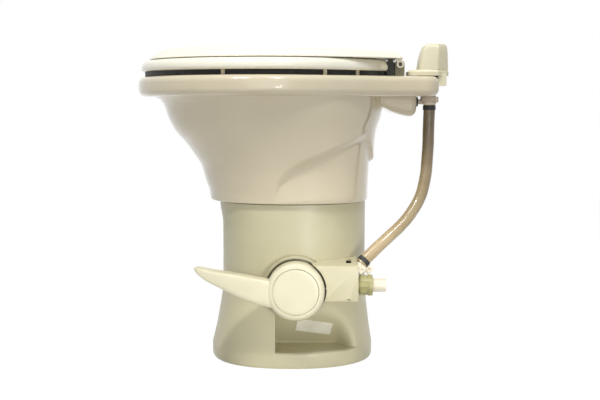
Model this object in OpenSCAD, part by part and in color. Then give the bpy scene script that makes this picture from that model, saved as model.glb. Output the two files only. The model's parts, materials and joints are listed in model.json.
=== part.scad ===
// Foot-pedal gravity-flush toilet with a ceramic bowl on a moulded pedestal.
// Millimetres. Origin at the centre of the waste outlet on the floor, front towards -Y, up is +Z,
// pedal and water valve on the +X side.

/* [Bowl] */
// Height of the rim's top above the floor
rim_top_z = 448; // [430:1:470]
// Height of the rolled rim and the deck
rim_h = 31; // [24:1:38]
// Half of the rim's width
rim_half_w = 190; // [180:1:200]
// Reach of the rim in front of the outlet
rim_front = 249; // [240:1:260]
// Rounding of the rim's edges
rim_round = 11; // [6:1:12]
// Height of the skirt's lower edge above the floor
skirt_z = 253; // [248:1:262]
// Overhang of the skirt's edge outside the pedestal
skirt_over = 6; // [3:0.5:9]
// Thickness of the ceramic walls
china = 9; // [7:0.5:11]
// Height of the crease where it meets the rear of the bowl's side, above the skirt
crease_h = 108; // [96:1:114]
// Half of the basin's width at the rim
basin_half_w = 126; // [115:1:132]
// Reach of the basin in front of the outlet
basin_front = 196; // [185:1:205]
// Reach of the basin behind the outlet
basin_back = 82; // [70:1:95]
// Radius of the throat above the flush ball
throat_r = 36; // [33:0.5:37]

/* [Deck] */
// Reach of the deck behind the outlet
deck_back = 228; // [226:1:229]
// Half of the deck's width
deck_half_w = 98; // [96:1:108]
// Radius of the deck's rear corners
deck_corner_r = 24; // [18:1:30]
// Half of the width of the shelf under the deck
shelf_half_w = 57; // [56:0.5:57.5]
// Depth of the shelf below the deck's underside
shelf_drop = 31; // [26:1:36]
// Reach of the shelf behind the outlet
shelf_back = 196; // [192:1:198]

/* [Pedestal] */
// Reach of the waist in front of the outlet
waist_front = 114; // [110:1:118]
// Reach of the waist behind the outlet
waist_back = 118.5; // [114:0.5:120]
// Half of the waist's width
waist_half_w = 116; // [113:0.5:116.5]
// Reach of the foot in front of and behind the outlet
foot_reach = 130; // [126:1:134]
// Half of the foot's width
foot_half_w = 126; // [122:1:128]
// Height at which the foot's flare fades out
flare_h = 112; // [100:1:116]
// Wall thickness of the moulded shell
shell = 4; // [3:0.5:5]
// Thickness of the strip between pedestal and bowl
strip_t = 1.5; // [1:0.5:3]

/* [Side recess] */
// Height of the bolt ledge above the floor
ledge_z = 25; // [20:1:30]
// Front end of the recess, measured from the outlet
recess_front_y = -25; // [-30:1:-20]
// Rear end of the recess
recess_back_y = 88; // [80:1:92]
// Distance of the ledge's inner edge from the middle
recess_in = 50; // [50:1:54]
// Height at which the sloping wall of the recess meets the waist
recess_top_z = 92; // [84:1:96]

/* [Floor fixing] */
// Radius of the waste outlet
outlet_r = 38; // [34:0.5:40]
// Distance between the two floor bolts
bolt_spacing = 152.4; // [148:0.2:158]
// Radius of the floor bolt holes
bolt_hole_r = 4.6; // [4:0.1:5.5]
// Radius of the boss round each floor bolt
bolt_boss_r = 14; // [11:1:16]

/* [Flush mechanism] */
// Height of the pedal's axis above the floor
hub_z = 126; // [124:0.5:128]
// Distance of the pedal's axis behind the outlet
hub_y = 6.5; // [5:0.5:8]
// Outer radius of the flush ball
ball_r = 74; // [72:0.5:75]
// Thickness of the flush ball
ball_t = 5; // [3:0.5:6]
// Half of the cap angle of the flush ball
ball_half_deg = 34.5; // [32:0.5:37]
// Radius of the drive shaft
shaft_r = 9; // [7:0.5:10]
// Wall of the shaft bearings
bushing_wall = 5; // [3:0.5:6]
// Height of the rubber ball seal
seal_h = 4; // [3:0.5:5]
// Outer radius of the throat flange
flange_r = 62; // [58:1:64]
// Travel of the pedal, in degrees
pedal_travel = 64; // [55:1:64]

/* [Pedal] */
// Outer radius of the pedal's round boss
boss_r = 43.5; // [41:0.5:45]
// Radius of the cap disc in the boss
cap_r = 35; // [30:0.5:37]
// Distance of the pedal's outer face from the middle
pedal_face_x = 166; // [164:1:170]
// Length of the arm from the axis to the tip
arm_len = 152; // [140:1:153]
// Outer radius of the fixed spring collar
collar_r = 50; // [48:0.5:51]
// Depth of the fixed spring collar
collar_d = 15; // [14:0.5:16]
// Distance of the mounting pad's face from the middle
pad_x = 118; // [118:0.5:119]

/* [Water valve] */
// Height of the water inlet's axis above the floor
inlet_z = 131; // [129:0.5:133]
// Distance of the water inlet from the middle
inlet_x = 128; // [127:0.5:129]
// Radius over the crests of the inlet's thread
inlet_r = 10.3; // [9:0.1:10.5]
// Length of the free end of the inlet
inlet_len = 20; // [16:1:24]
// Rear end of the valve cover
cover_back_y = 100.5; // [98:0.5:102]
// Distance of the valve cover's outer face from the middle
cover_x = 150; // [148:1:152]
// Lift of the valve plunger over the pedal's whole travel
plunger_lift = 5; // [3:0.5:6]

/* [Vacuum breaker] */
// Distance of the vacuum breaker from the middle
breaker_x = 40; // [38:1:41]
// Distance of its shank from the deck's rear edge
breaker_in = 10.5; // [9:0.5:13]
// Radius of its threaded shank
shank_r = 10; // [8:0.5:11]
// Height of its cap above the deck
cap_h = 52; // [46:1:56]
// Travel of the float
float_lift = 4; // [2:0.5:6]

/* [Hose] */
// Outer radius of the water hose
hose_r = 9.25; // [8:0.25:9.5]
// Width of the hose clamps
clamp_w = 7; // [5:0.5:8]
// Thickness of the hose clamps' bands
clamp_t = 0.9; // [0.6:0.1:1.5]

/* [Seat and lid] */
// Gap between rim and seat, which the bumpers fill
seat_gap = 8; // [6:0.5:10]
// Thickness of the seat
seat_t = 17.8; // [15:0.2:18]
// Gap between seat and lid
lid_gap = 1; // [0.8:0.1:1.5]
// Height of the lid over its crown
lid_h = 24; // [20:0.5:26]
// How far the seat's edge stands inside the rim's
seat_in = 8; // [5:1:14]
// How far the lid's edge stands inside the seat's
lid_in = 12.5; // [8:0.5:16]
// Half of the seat's width at its rear end
seat_back_half_w = 84; // [80:1:90]
// Half of the width of the opening in the seat
seat_hole_half_w = 104; // [96:1:112]
// Rear end of the seat behind the outlet
seat_back = 153; // [150:1:154]
// Rear end of the lid behind the outlet
lid_back = 172; // [168:1:172]

/* [Hinge] */
// Distance of the hinge axis behind the outlet
hinge_y = 167; // [167:0.5:168]
// Height of the hinge axis above the rim
hinge_h = 18; // [18:0.1:19]
// Distance of each hinge post from the middle
post_x = 70; // [68:1:71]
// Width of a hinge post along the axis
post_w = 16; // [12:1:18]
// Radius of a hinge post's round top
post_r = 7.2; // [6:0.1:7.2]
// Radius of the hinge pins
hinge_pin_r = 3; // [2.5:0.1:3.5]
// Width of a hinge leaf's knuckle
leaf_w = 8; // [6:0.5:10]

/* [Clearances] */
// Radial gap of a running fit
run_gap = 0.08; // [0.05:0.01:0.1]
// Gap between pieces that rest close together
rest_gap = 0.3; // [0.25:0.05:0.5]
// Gap between pieces that pass each other
pass_gap = 1; // [0.6:0.1:1.5]

/* [Hidden] */

// Colours
ivory = "#EDE7CC";
bone = "#D2C7A6";
shade_plastic = "#C6C2A0";
seat_white = "#F6F0DA";
rubber_black = "#2B2B29";
steel = "#9A9A98";
vinyl = "#B99F76";
nut_green = "#CBC993";
warm_white = "#F4EEDC";
sheet_white = "#E6E4D2";

// Fine facets of true round shapes, and facets inside a blend
round_n = 64;
blend_n = 24;
// Margin by which a cut runs past a face
past = 1;

// Levels
rim_low_z = rim_top_z - rim_h;
pedestal_top_z = skirt_z - strip_t;
seat_low_z = rim_top_z + seat_gap;
seat_top_z = seat_low_z + seat_t;
lid_low_z = seat_top_z + lid_gap;
hinge_z = rim_top_z + hinge_h;
seal_low_z = hub_z + sqrt(pow(ball_r + rest_gap, 2) - pow(throat_r + past, 2));
flange_low_z = seal_low_z + seal_h;
housing_r = ball_r + 3;
shelf_z = rim_low_z - shelf_drop;
breaker_y = deck_back - breaker_in;

function mix(a, b, t) = a + (b - a) * t;
function ease(t) = let (c = min(1, max(0, t))) c * c * (3 - 2 * c);
function column(table, c) = [for (row = table) [row[0], row[c]]];
function bent(v, n) = sign(v) * pow(abs(v), 2 / n);

// Closed outline at one height: front and rear reach, half width, y of the widest place, squareness
function on_outline(a, z, front, back, half_w, mid, n_front, n_back) =
    let (n = sin(a) < 0 ? n_front : n_back)
    [half_w * bent(cos(a), n), mid + (sin(a) < 0 ? front + mid : back - mid) * bent(sin(a), n), z];
function outline(z, front, back, half_w, mid, n_front, n_back, count) =
    [for (i = [0 : count - 1]) on_outline(360 * i / count, z, front, back, half_w, mid, n_front, n_back)];

// Skin over a list of closed rings, all counted the same way round and from low to high
module loft(rings) {
    n = len(rings[0]);
    m = len(rings);
    polyhedron(
        points = [for (r = rings) each r],
        faces = concat(
            [[for (i = [0 : n - 1]) i]],
            [[for (i = [n - 1 : -1 : 0]) (m - 1) * n + i]],
            [for (j = [0 : m - 2], i = [0 : n - 1])
                each let (a = j * n + i, b = j * n + (i + 1) % n) [[a, a + n, b + n], [a, b + n, b]]]
        )
    );
}

// Round bar from one point to another
module bar(from, to, r, r_end) {
    d = to - from;
    translate(from)
        rotate([0, acos(d.z / norm(d)), atan2(d.y, d.x)])
            cylinder(h = norm(d), r1 = r, r2 = is_undef(r_end) ? r : r_end, $fn = round_n);
}

// Cylinder lying along X or Y, from a to b
module x_bar(a, b, r) {
    translate([a, 0, 0]) rotate([0, 90, 0]) cylinder(h = b - a, r = r, $fn = round_n);
}
module y_bar(a, b, r) {
    translate([0, a, 0]) rotate([-90, 0, 0]) cylinder(h = b - a, r = r, $fn = round_n);
}
// Profile of [radius, x] points turned about the X axis
module x_turn(profile) {
    rotate([90, 0, 90]) rotate_extrude($fn = round_n) polygon(profile);
}
module box(low, high) {
    translate(low) cube(high - low);
}
module at_hub() {
    translate([0, hub_y, hub_z]) children();
}
module both_sides() {
    children();
    mirror([1, 0, 0]) children();
}

// Tube along a route: unit frames carried from ring to ring, so the tube never twists
function unit(v) = v / norm(v);
function heading(route, i) =
    unit(route[min(i + 1, len(route) - 1)] - route[max(i - 1, 0)]);
function sides_of(route, first, i) =
    let (t = heading(route, i), s = i == 0 ? first : sides_of(route, first, i - 1))
    unit(s - (s * t) * t);
function tube_ring(centre, side, t, r, n) =
    let (up = cross(t, side))
    [for (k = [0 : n - 1]) centre + r * (cos(360 * k / n) * side + sin(360 * k / n) * up)];
module tube(route, first, r, n) {
    loft([for (i = [0 : len(route) - 1])
        tube_ring(route[i], sides_of(route, first, i), -heading(route, i), r, n)]);
}

// Bowl above the crease: how far each reach has grown from the skirt's to the rim's, against height
flare = [
    // height, front, back, width
    [0, 0, 0, 0], [0.08, 0.02, 0.02, 0.03], [0.2, 0.09, 0.05, 0.11], [0.32, 0.15, 0.08, 0.2],
    [0.44, 0.28, 0.12, 0.33], [0.56, 0.44, 0.18, 0.47], [0.67, 0.61, 0.32, 0.6],
    [0.79, 0.72, 0.7, 0.74], [0.91, 0.79, 0.93, 0.87], [0.97, 0.88, 0.98, 0.95], [1, 1, 1, 1]
];
flare_front = column(flare, 1);
flare_back = column(flare, 2);
flare_width = column(flare, 3);
skirt_front = waist_front + skirt_over * 3;
skirt_back = waist_back + skirt_over * 0.6;
skirt_half_w = waist_half_w + skirt_over;
overhang_back = 8;
neck_front = rim_front - 24;
neck_back = 148;
neck_half_w = rim_half_w - 17;
neck_z = rim_low_z + 2;
// Widest place of the rim and of the skirt
rim_mid = -45;
skirt_mid = -3;
// Growth of the straight column under the crease
column_flare = 4;

// Crease in the bowl's side: share of its height against y, then falling again across the rear
crease = [[-26, 0.03], [-23, 0.08], [-13, 0.3], [4, 0.46], [28, 0.6], [51, 0.7], [80, 0.84], [110, 1]];
crease_rear = 0.6;
function upper_point(a, z, inset) =
    let (t = min(1, max(0, (z - skirt_z) / (neck_z - skirt_z))))
    on_outline(a, z, mix(skirt_front, neck_front, lookup(t, flare_front)) - inset,
        mix(skirt_back + overhang_back, neck_back, lookup(t, flare_back)) - inset,
        mix(skirt_half_w, neck_half_w, lookup(t, flare_width)) - inset,
        mix(skirt_mid, rim_mid, t), 2.1, mix(2.6, 2.2, t));
function lower_point(a, z, inset) =
    let (grow = column_flare * ease((z - skirt_z) / crease_h) - inset)
    on_outline(a, z, skirt_front + grow, skirt_back + grow, skirt_half_w + grow, skirt_mid, 2.1, 2.6);
function crease_over_skirt(a) =
    let (p = lower_point(a, skirt_z, 0))
    crease_h * lookup(p.y, crease)
        * (p.y < 90 ? 1 : mix(crease_rear, 1, ease((abs(p.x) - 20) / 60)));
function bowl_point(a, z, inset) =
    let (low = lower_point(a, z, inset), up = upper_point(a, z, inset))
    mix(up, low, ease((lower_point(a, skirt_z, 0).y - crease[0][0]) / 14));
// Rings from the skirt to the crease, then from the crease to a flat top
function bowl_rings(inset, below, top_z, count) = concat(
    [for (s = [0, 0.35, 0.68, 0.9]) [for (i = [0 : count - 1])
        let (a = 360 * i / count)
        bowl_point(a, skirt_z + s * crease_over_skirt(a) - (s == 0 ? below : 0), inset)]],
    [for (s = [0, 0.05, 0.13, 0.24, 0.36, 0.48, 0.6, 0.72, 0.84, 0.94, 1]) [for (i = [0 : count - 1])
        let (a = 360 * i / count)
        upper_point(a, mix(skirt_z + crease_over_skirt(a), top_z, s), inset)]]);

// Rim, seat and lid share a plan: half ellipse in front, curved sides, round rear corners.
// A plan is [front reach, half width, reach and spread of its side curve, back, half width there,
// radius of the rear corners]
side_n = 10;
corner_n = 4;
arc_n = 14;
side_y = 100;
function bezier(p, t) =
    pow(1 - t, 3) * p[0] + 3 * t * pow(1 - t, 2) * p[1] + 3 * t * t * (1 - t) * p[2] + pow(t, 3) * p[3];
function plan(z, inset, form) =
    let (w = form[1] - inset, back = form[4], back_w = form[5] - inset, corner_r = form[6],
         r = max(2, corner_r - inset),
         side = [[w, rim_mid], [w, rim_mid + form[2]], [back_w + form[3], side_y],
            [back_w, back - inset - r]],
         right = concat(
            [for (i = [0 : arc_n]) let (a = -90 + 90 * i / arc_n)
                [w * cos(a), rim_mid + (form[0] + rim_mid - inset) * sin(a)]],
            [for (i = [1 : side_n]) bezier(side, i / side_n)],
            [for (i = [1 : corner_n]) let (a = 90 * i / corner_n)
                [back_w - r + r * cos(a), back - inset - r + r * sin(a)]]))
    concat([for (p = right) [p.x, p.y, z]],
        [for (i = [len(right) - 1 : -1 : 1]) [-right[i].x, right[i].y, z]]);
rim_plan = [rim_front, rim_half_w, 95, 14, deck_back, deck_half_w, deck_corner_r];

// Insets that round an edge over a height, from the low side to the high side
function rounding(r, n) = [for (i = [0 : n]) let (a = 90 * i / n) [r * (1 - cos(a)), r * (1 - sin(a))]];
module rounded_slab(low, high, r_low, r_high, form) {
    loft(concat(
        [for (s = rounding(r_low, 3)) plan(low + s[0], s[1], form)],
        [for (i = [3 : -1 : 0]) let (s = rounding(r_high, 3)[i]) plan(high - s[0], s[1], form)]));
}

// Basin: reaches from the throat to the rim, against height
basin_low_z = flange_low_z;
basin_curve = [[0, 0], [0.12, 0.1], [0.3, 0.36], [0.5, 0.62], [0.7, 0.83], [0.88, 0.96], [1, 1]];
function basin_ring(t, grow) =
    let (s = lookup(t, basin_curve))
    outline(mix(basin_low_z, rim_top_z + past, t),
        mix(throat_r - hub_y, basin_front, s) + grow, mix(throat_r + hub_y, basin_back, s) + grow,
        mix(throat_r, basin_half_w, s) + grow,
        mix(hub_y, -55, s), 2.05, 2.2, 36);
module basin(grow) {
    loft([for (row = basin_curve) basin_ring(row[0], grow)]);
}

module bowl() {
    color(bone) difference() {
        union() {
            difference() {
                union() {
                    loft(bowl_rings(0, 0, neck_z, 64));
                    rounded_slab(rim_low_z, rim_top_z, rim_round, rim_round * 0.8, rim_plan);
                    shelf();
                }
                skirt_hollow();
            }
            intersection() {
                basin(china);
                box([-basin_half_w - china, -rim_front, basin_low_z],
                    [basin_half_w + china, basin_back + china, rim_low_z + past]);
            }
            translate([0, hub_y, flange_low_z]) cylinder(h = china, r = flange_r, $fn = round_n);
        }
        basin(0);
        translate([0, hub_y, flange_low_z - past])
            cylinder(h = china + past, r = throat_r, $fn = round_n);
        translate([breaker_x, breaker_y, rim_low_z - past])
            cylinder(h = rim_h + 2 * past, r = shank_r + pass_gap, $fn = round_n);
        box([breaker_x - shank_r - pass_gap, breaker_y, rim_low_z - past],
            [breaker_x + shank_r + pass_gap, deck_back + past, rim_top_z + past]);
        translate([breaker_x, 0, spigot_z])
            y_bar(shelf_back - 30, shelf_back + past, grommet_r);
        at_post() {
            translate([0, 0, rim_low_z - past])
                cylinder(h = past + pocket_h, r = pocket_r, $fn = round_n);
            translate([0, 0, rim_low_z])
                cylinder(h = rim_h + past, r = hinge_bolt_r + pass_gap, $fn = round_n);
        }
    }
}
// Space between skirt and basin, open below
module skirt_hollow() {
    difference() {
        loft(bowl_rings(china, past, neck_z - 16, 40));
        basin(china / 2);
    }
}
// Hollow-looking shelf under the deck that takes the water in
shelf_round = 8;
module shelf() {
    hull() {
        for (x = [-1, 1] * (shelf_half_w - shelf_round)) {
            translate([x, neck_back - 30, shelf_z + 22])
                sphere(r = shelf_round, $fn = blend_n);
            translate([x, shelf_back - shelf_round, shelf_z + shelf_round])
                sphere(r = shelf_round, $fn = blend_n);
            translate([x, shelf_back - shelf_round, rim_low_z + 6])
                sphere(r = shelf_round, $fn = blend_n);
            translate([x, neck_back - 30, rim_low_z + 6])
                sphere(r = shelf_round, $fn = blend_n);
        }
    }
}

// Pedestal: share of the foot's extra reach against height over the flare's height
foot_curve = [[0, 0.9], [0.02, 0.97], [0.06, 1], [0.16, 1], [0.29, 0.82], [0.46, 0.58], [0.64, 0.38],
    [0.82, 0.18], [1, 0.04]];
function shell_ring(z, share, inset) =
    outline(z, mix(waist_front, foot_reach, share) - inset, mix(waist_back, foot_reach, share) - inset,
        mix(waist_half_w, foot_half_w, share) - inset, 0, 2.3, 2.3, 48);
module shell_form(inset, below, above) {
    loft(concat(
        [for (row = foot_curve)
            shell_ring(row[0] * flare_h - (row[0] == 0 ? below : 0), row[1], inset)],
        [shell_ring(flare_h * 1.35, 0, inset), shell_ring(pedestal_top_z + above, 0, inset)]));
}
// Wedge that makes a side recess, grown for its walls
module recess(grow) {
    slope = (waist_half_w - recess_in) / (recess_top_z - ledge_z);
    translate([0, recess_front_y - grow, 0])
        rotate([90, 0, 180])
            mirror([1, 0, 0])
                linear_extrude(height = recess_back_y - recess_front_y + 2 * grow)
                    polygon([
                        [recess_in - grow, ledge_z - grow],
                        [foot_half_w + 30, ledge_z - grow],
                        [foot_half_w + 30, recess_top_z + grow],
                        [waist_half_w + slope * 2, recess_top_z + grow + 2],
                        [recess_in - grow, ledge_z + grow * 0.4]]);
}
base_ring_r = 64;
base_ring_h = 8;
seal_groove_in = outlet_r + 9;
seal_groove_w = 9;
outlet_wall = 9.5;
hub_tube_r = shaft_r + bushing_wall + 5;
far_end_x = -housing_r - 16;
valve_pad_x = 113;
valve_pad_in = 60;
valve_pad_y = [62, 94];
// Ball turned from straight steps of ten degrees
module ball_form(r) {
    rotate_extrude($fn = round_n) polygon([for (a = [-90 : 10 : 90]) r * [cos(a), sin(a)]]);
}
module pedestal() {
    color(shade_plastic) difference() {
        union() {
            shell_form(0, 0, 0);
            at_hub() x_bar(waist_half_w - 30, pad_x, collar_r + 0.5);
            box([valve_pad_in, valve_pad_y[0], inlet_z - 15], [valve_pad_x, valve_pad_y[1], inlet_z + 13]);
        }
        difference() {
            shell_form(shell, past, past);
            both_sides() recess(shell);
            at_hub() ball_form(housing_r + shell);
            translate([0, 0, -2 * past]) cylinder(h = hub_z - housing_r + 20, r = outlet_r + outlet_wall,
                $fn = round_n);
            translate([0, 0, -2 * past]) cylinder(h = base_ring_h + 2 * past, r = base_ring_r,
                $fn = round_n);
            translate([0, hub_y, hub_z]) cylinder(h = seal_low_z - hub_z, r = flange_r, $fn = round_n);
            at_hub() x_bar(far_end_x, pad_x, hub_tube_r);
            both_sides() translate([bolt_spacing / 2, 0, -2 * past])
                cylinder(h = ledge_z, r = bolt_boss_r, $fn = round_n);
        }
        both_sides() recess(0);
        at_hub() ball_form(housing_r);
        translate([0, 0, -past]) cylinder(h = hub_z - housing_r + 20, r = outlet_r, $fn = round_n);
        translate([0, hub_y, hub_z]) cylinder(h = housing_r + 10, r = throat_r + 6, $fn = round_n);
        clamp_space();
        translate([0, hub_y, seal_low_z])
            cylinder(h = pedestal_top_z - seal_low_z, r = flange_r + 14, $fn = round_n);
        at_hub() x_bar(far_end_x + shell, pad_x + past, shaft_r + bushing_wall);
        both_sides() translate([bolt_spacing / 2, 0, -past])
            cylinder(h = ledge_z + 2 * past, r = bolt_hole_r, $fn = round_n);
        translate([0, 0, -past]) difference() {
            cylinder(h = 5 + past, r = seal_groove_in + seal_groove_w, $fn = round_n);
            cylinder(h = 5 + past, r = seal_groove_in, $fn = round_n);
        }
        at_collar_screws() x_bar(pad_x - 10, pad_x + past, screw_r);
        at_valve_screws() x_bar(valve_pad_x - 12, valve_pad_x + past, screw_r);
    }
}
// Room that the clamp band needs round the housing's flange
clamp_reach = 6;
module clamp_space() {
    translate([0, hub_y, seal_low_z - clamp_reach - past])
        difference() {
            cylinder(h = band_t + past, r = flange_r + 12, $fn = round_n);
            translate([0, 0, -past]) cylinder(h = band_t + 3 * past, r = clamp_in_r - rest_gap,
                $fn = round_n);
        }
}

module skirt_strip() {
    color(rubber_black) difference() {
        loft([shell_ring(pedestal_top_z, 0, 0.5), shell_ring(skirt_z, 0, 0.5)]);
        loft([shell_ring(pedestal_top_z - past, 0, shell), shell_ring(skirt_z + past, 0, shell)]);
    }
}

// Band round the bowl's throat flange and the housing's flange
band_t = 2.5;
clamp_in_r = flange_r - 3;
module throat_clamp() {
    low = seal_low_z - clamp_reach;
    high = flange_low_z + china + rest_gap;
    color(steel) translate([0, hub_y, 0]) difference() {
        union() {
            translate([0, 0, low]) cylinder(h = high + band_t - low, r = flange_r + rest_gap + band_t,
                $fn = round_n);
            box([-8, flange_r, low + 4], [8, flange_r + 16, high - 2]);
        }
        translate([0, 0, low - past])
            cylinder(h = high + band_t - low + 2 * past, r = clamp_in_r, $fn = round_n);
        translate([0, 0, low + band_t])
            cylinder(h = high - low - band_t, r = flange_r + rest_gap, $fn = round_n);
        box([-2, flange_r - 6, low - past], [2, flange_r + 20, high + band_t + past]);
        translate([0, flange_r + 10, (low + high) / 2]) x_bar(-20, 20, clamp_bolt_r + run_gap);
    }
}
clamp_bolt_r = 3;
module clamp_bolt() {
    low = seal_low_z - clamp_reach;
    high = flange_low_z + china + rest_gap;
    color(steel) translate([0, hub_y + flange_r + 10, (low + high) / 2]) {
        x_bar(-14, 8, clamp_bolt_r);
        x_bar(8, 12, clamp_bolt_r * 1.8);
        difference() {
            translate([-12, 0, 0]) rotate([0, 90, 0]) cylinder(h = 4, r = clamp_bolt_r * 2, $fn = 6);
            x_bar(-13, -7, clamp_bolt_r - 0.5);
        }
    }
}

module ball_seal() {
    color(rubber_black) translate([0, hub_y, seal_low_z]) difference() {
        cylinder(h = seal_h, r = flange_r, $fn = round_n);
        translate([0, 0, -past]) cylinder(h = seal_h + 2 * past, r = throat_r + past, $fn = round_n);
    }
}
module floor_seal() {
    color(rubber_black) difference() {
        translate([0, 0, rest_gap])
            cylinder(h = 5 - rest_gap, r = seal_groove_in + seal_groove_w, $fn = round_n);
        cylinder(h = 5 + past, r = seal_groove_in, $fn = round_n);
    }
}

// Bearings of the drive shaft
module near_bushing() {
    color(warm_white) at_hub() difference() {
        union() {
            x_bar(housing_r - 1, pad_x, shaft_r + bushing_wall);
            x_bar(pad_x, pad_x + 2.2, shaft_r + bushing_wall + 3);
        }
        x_bar(housing_r - 2, pad_x + 5, shaft_r + run_gap);
    }
}
module far_bushing() {
    color(warm_white) at_hub() difference() {
        x_bar(far_end_x + shell, -housing_r + 1, shaft_r + bushing_wall);
        x_bar(far_end_x + shell + 3, -housing_r + 2, shaft_r + run_gap);
    }
}
module shaft_rings() {
    color(rubber_black) at_hub()
        for (x = ring_places)
            translate([x + ring_w / 2, 0, 0]) rotate([0, 90, 0])
                rotate_extrude($fn = round_n) translate([shaft_r - 1, 0]) circle(r = 1, $fn = 24);
}
ring_w = 2.4;
ring_places = [housing_r + 8, housing_r + 16];
module drive_shaft() {
    color(steel) at_hub() difference() {
        x_bar(far_end_x + shell + 3.5, shaft_end_x, shaft_r);
        for (x = ring_places)
            difference() {
                x_bar(x, x + ring_w, shaft_r + 2);
                x_bar(x - 1, x + ring_w + 1, shaft_r - 2.1);
            }
        x_bar(shaft_end_x - 16, shaft_end_x + 1, pedal_screw_r);
        for (x = ball_arm_places)
            translate([x, 0, 0]) cylinder(h = 60, r = ball_pin_r, center = true, $fn = round_n);
    }
}
shaft_end_x = pedal_face_x - 18;
pedal_screw_r = 3;
ball_pin_r = 2.5;
ball_arm_in = 26;
ball_arm_t = 14;
ball_arm_places = [-(ball_arm_in + ball_arm_t / 2), ball_arm_in + ball_arm_t / 2];

module flush_ball() {
    color(warm_white) at_hub() difference() {
        union() {
            intersection() {
                difference() {
                    sphere(r = ball_r, $fn = 96);
                    sphere(r = ball_r - ball_t, $fn = 96);
                }
                cylinder(h = ball_r + 1, r = ball_r * sin(ball_half_deg), $fn = round_n);
            }
            both_sides() {
                x_bar(ball_arm_in, ball_arm_in + ball_arm_t, shaft_r + 7);
                intersection() {
                    box([ball_arm_in + 3, -13, 0], [ball_arm_in + ball_arm_t - 5, 13, ball_r]);
                    sphere(r = ball_r - ball_t / 2, $fn = 96);
                }
            }
        }
        x_bar(-60, 60, shaft_r);
        for (x = ball_arm_places)
            translate([x, 0, -30]) cylinder(h = 30 + shaft_r + 6, r = ball_pin_r, $fn = round_n);
    }
}
module ball_pins() {
    color(steel) at_hub()
        for (x = ball_arm_places)
            translate([x, 0, -shaft_r - 6]) cylinder(h = 2 * shaft_r + 12, r = ball_pin_r, $fn = round_n);
}

// Fixed collar behind the pedal, which holds the return spring and the cam
collar_wall = 4;
collar_floor = 2.5;
screw_r = 1.6;
collar_screw_ring = collar_r - collar_wall - 4;
module at_collar_screws() {
    at_hub() for (a = [70, 190, 310])
        rotate([a, 0, 0]) translate([0, 0, collar_screw_ring]) children();
}
module spring_collar() {
    color(shade_plastic) difference() {
        at_hub() x_turn([
            [shaft_r + bushing_wall + 4, pad_x], [collar_r, pad_x], [collar_r, pad_x + collar_d - 1],
            [collar_r - 1, pad_x + collar_d], [collar_r - collar_wall, pad_x + collar_d],
            [collar_r - collar_wall, pad_x + collar_floor],
            [shaft_r + bushing_wall + 4, pad_x + collar_floor]]);
        at_collar_screws() x_bar(pad_x - 1, pad_x + 5, screw_r);
        plunger_axis() y_bar(hub_y + cam_low_r + plunger_lift, valve_front_y, plunger_r + pass_gap);
    }
}
module collar_screws() {
    color(steel) at_collar_screws() {
        x_bar(pad_x - 9, pad_x + collar_floor, screw_r);
        x_bar(pad_x + collar_floor, pad_x + collar_floor + 1.6, screw_r * 1.7);
    }
}
// Flat spiral spring, unbroken from its inner to its outer end
spring_turns = 2.5;
spring_wire_r = 1.1;
spring_in_r = 21;
spring_out_r = 35;
spring_steps = 20;
function spiral(x, steps) = [for (i = [0 : steps])
    let (a = 360 * spring_turns * i / steps, r = mix(spring_in_r, spring_out_r, i / steps))
    [x, hub_y + r * cos(a), hub_z + r * sin(a)]];
module return_spring() {
    color(steel) tube(spiral(pad_x + collar_floor + spring_wire_r + rest_gap, spring_steps * spring_turns),
        [1, 0, 0], spring_wire_r, 6);
    echo(spring_least_gap = (spring_out_r - spring_in_r) / spring_turns - 2 * spring_wire_r);
}

// Cam on the shaft: its radius grows steadily, so the plunger keeps touching it
cam_x = pad_x + 8;
cam_t = 6;
cam_low_r = 24;
plunger_r = 4;
plunger_x = cam_x + cam_t / 2;
function cam_radius(deg) = cam_low_r + plunger_lift * min(1, max(0, deg / pedal_travel));
module valve_cam() {
    color(warm_white) at_hub() difference() {
        translate([cam_x, 0, 0]) rotate([90, 0, 90]) linear_extrude(height = cam_t)
            polygon([for (a = [0 : 4 : 356])
                let (deg = a <= 180 ? 0 : 360 - a) cam_radius(deg) * [cos(a), sin(a)]]);
        x_bar(cam_x - 1, cam_x + cam_t + 1, shaft_r);
    }
}
module plunger_axis() {
    translate([plunger_x, 0, hub_z]) children();
}
module valve_plunger() {
    len_y = plunger_to_y - plunger_from_y;
    color(steel) plunger_axis() {
        translate([0, plunger_from_y, 0]) rotate([-90, 0, 0]) rotate_extrude($fn = round_n)
            polygon(concat([for (a = [0 : 15 : 90]) plunger_r * [sin(a), 1 - cos(a)]],
                [[plunger_r, len_y], [0, len_y]]));
        y_bar(plunger_stop_y, plunger_stop_y + 2, plunger_r + 2.5);
    }
}
plunger_from_y = hub_y + cam_low_r + rest_gap;
valve_front_y = hub_y + collar_r + 3;
plunger_stop_y = valve_front_y + 1;
plunger_to_y = valve_front_y + 24;
plunger_chamber_r = plunger_r + 4.5;
plunger_chamber_len = 14;
module plunger_seal() {
    color(rubber_black) plunger_axis() difference() {
        y_bar(plunger_to_y - 4, plunger_to_y - 2, plunger_r + 0.9);
        y_bar(plunger_to_y - 5, plunger_to_y - 1, plunger_r);
    }
}
coil_r = plunger_r + 1.7;
coil_wire_r = 0.6;
coil_turns = 3;
module plunger_spring() {
    from_y = plunger_stop_y + 2 + coil_wire_r + rest_gap;
    to_y = valve_front_y + plunger_chamber_len - coil_wire_r - rest_gap;
    color(steel) tube([for (i = [0 : 14 * coil_turns])
        let (a = 360 * i / 14, t = i / (14 * coil_turns))
        [plunger_x + coil_r * cos(a), mix(from_y, to_y, t), hub_z + coil_r * sin(a)]],
        [1, 0, 0], coil_wire_r, 6);
    echo(coil_least_gap = (to_y - from_y) / coil_turns - 2 * coil_wire_r);
}

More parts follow.
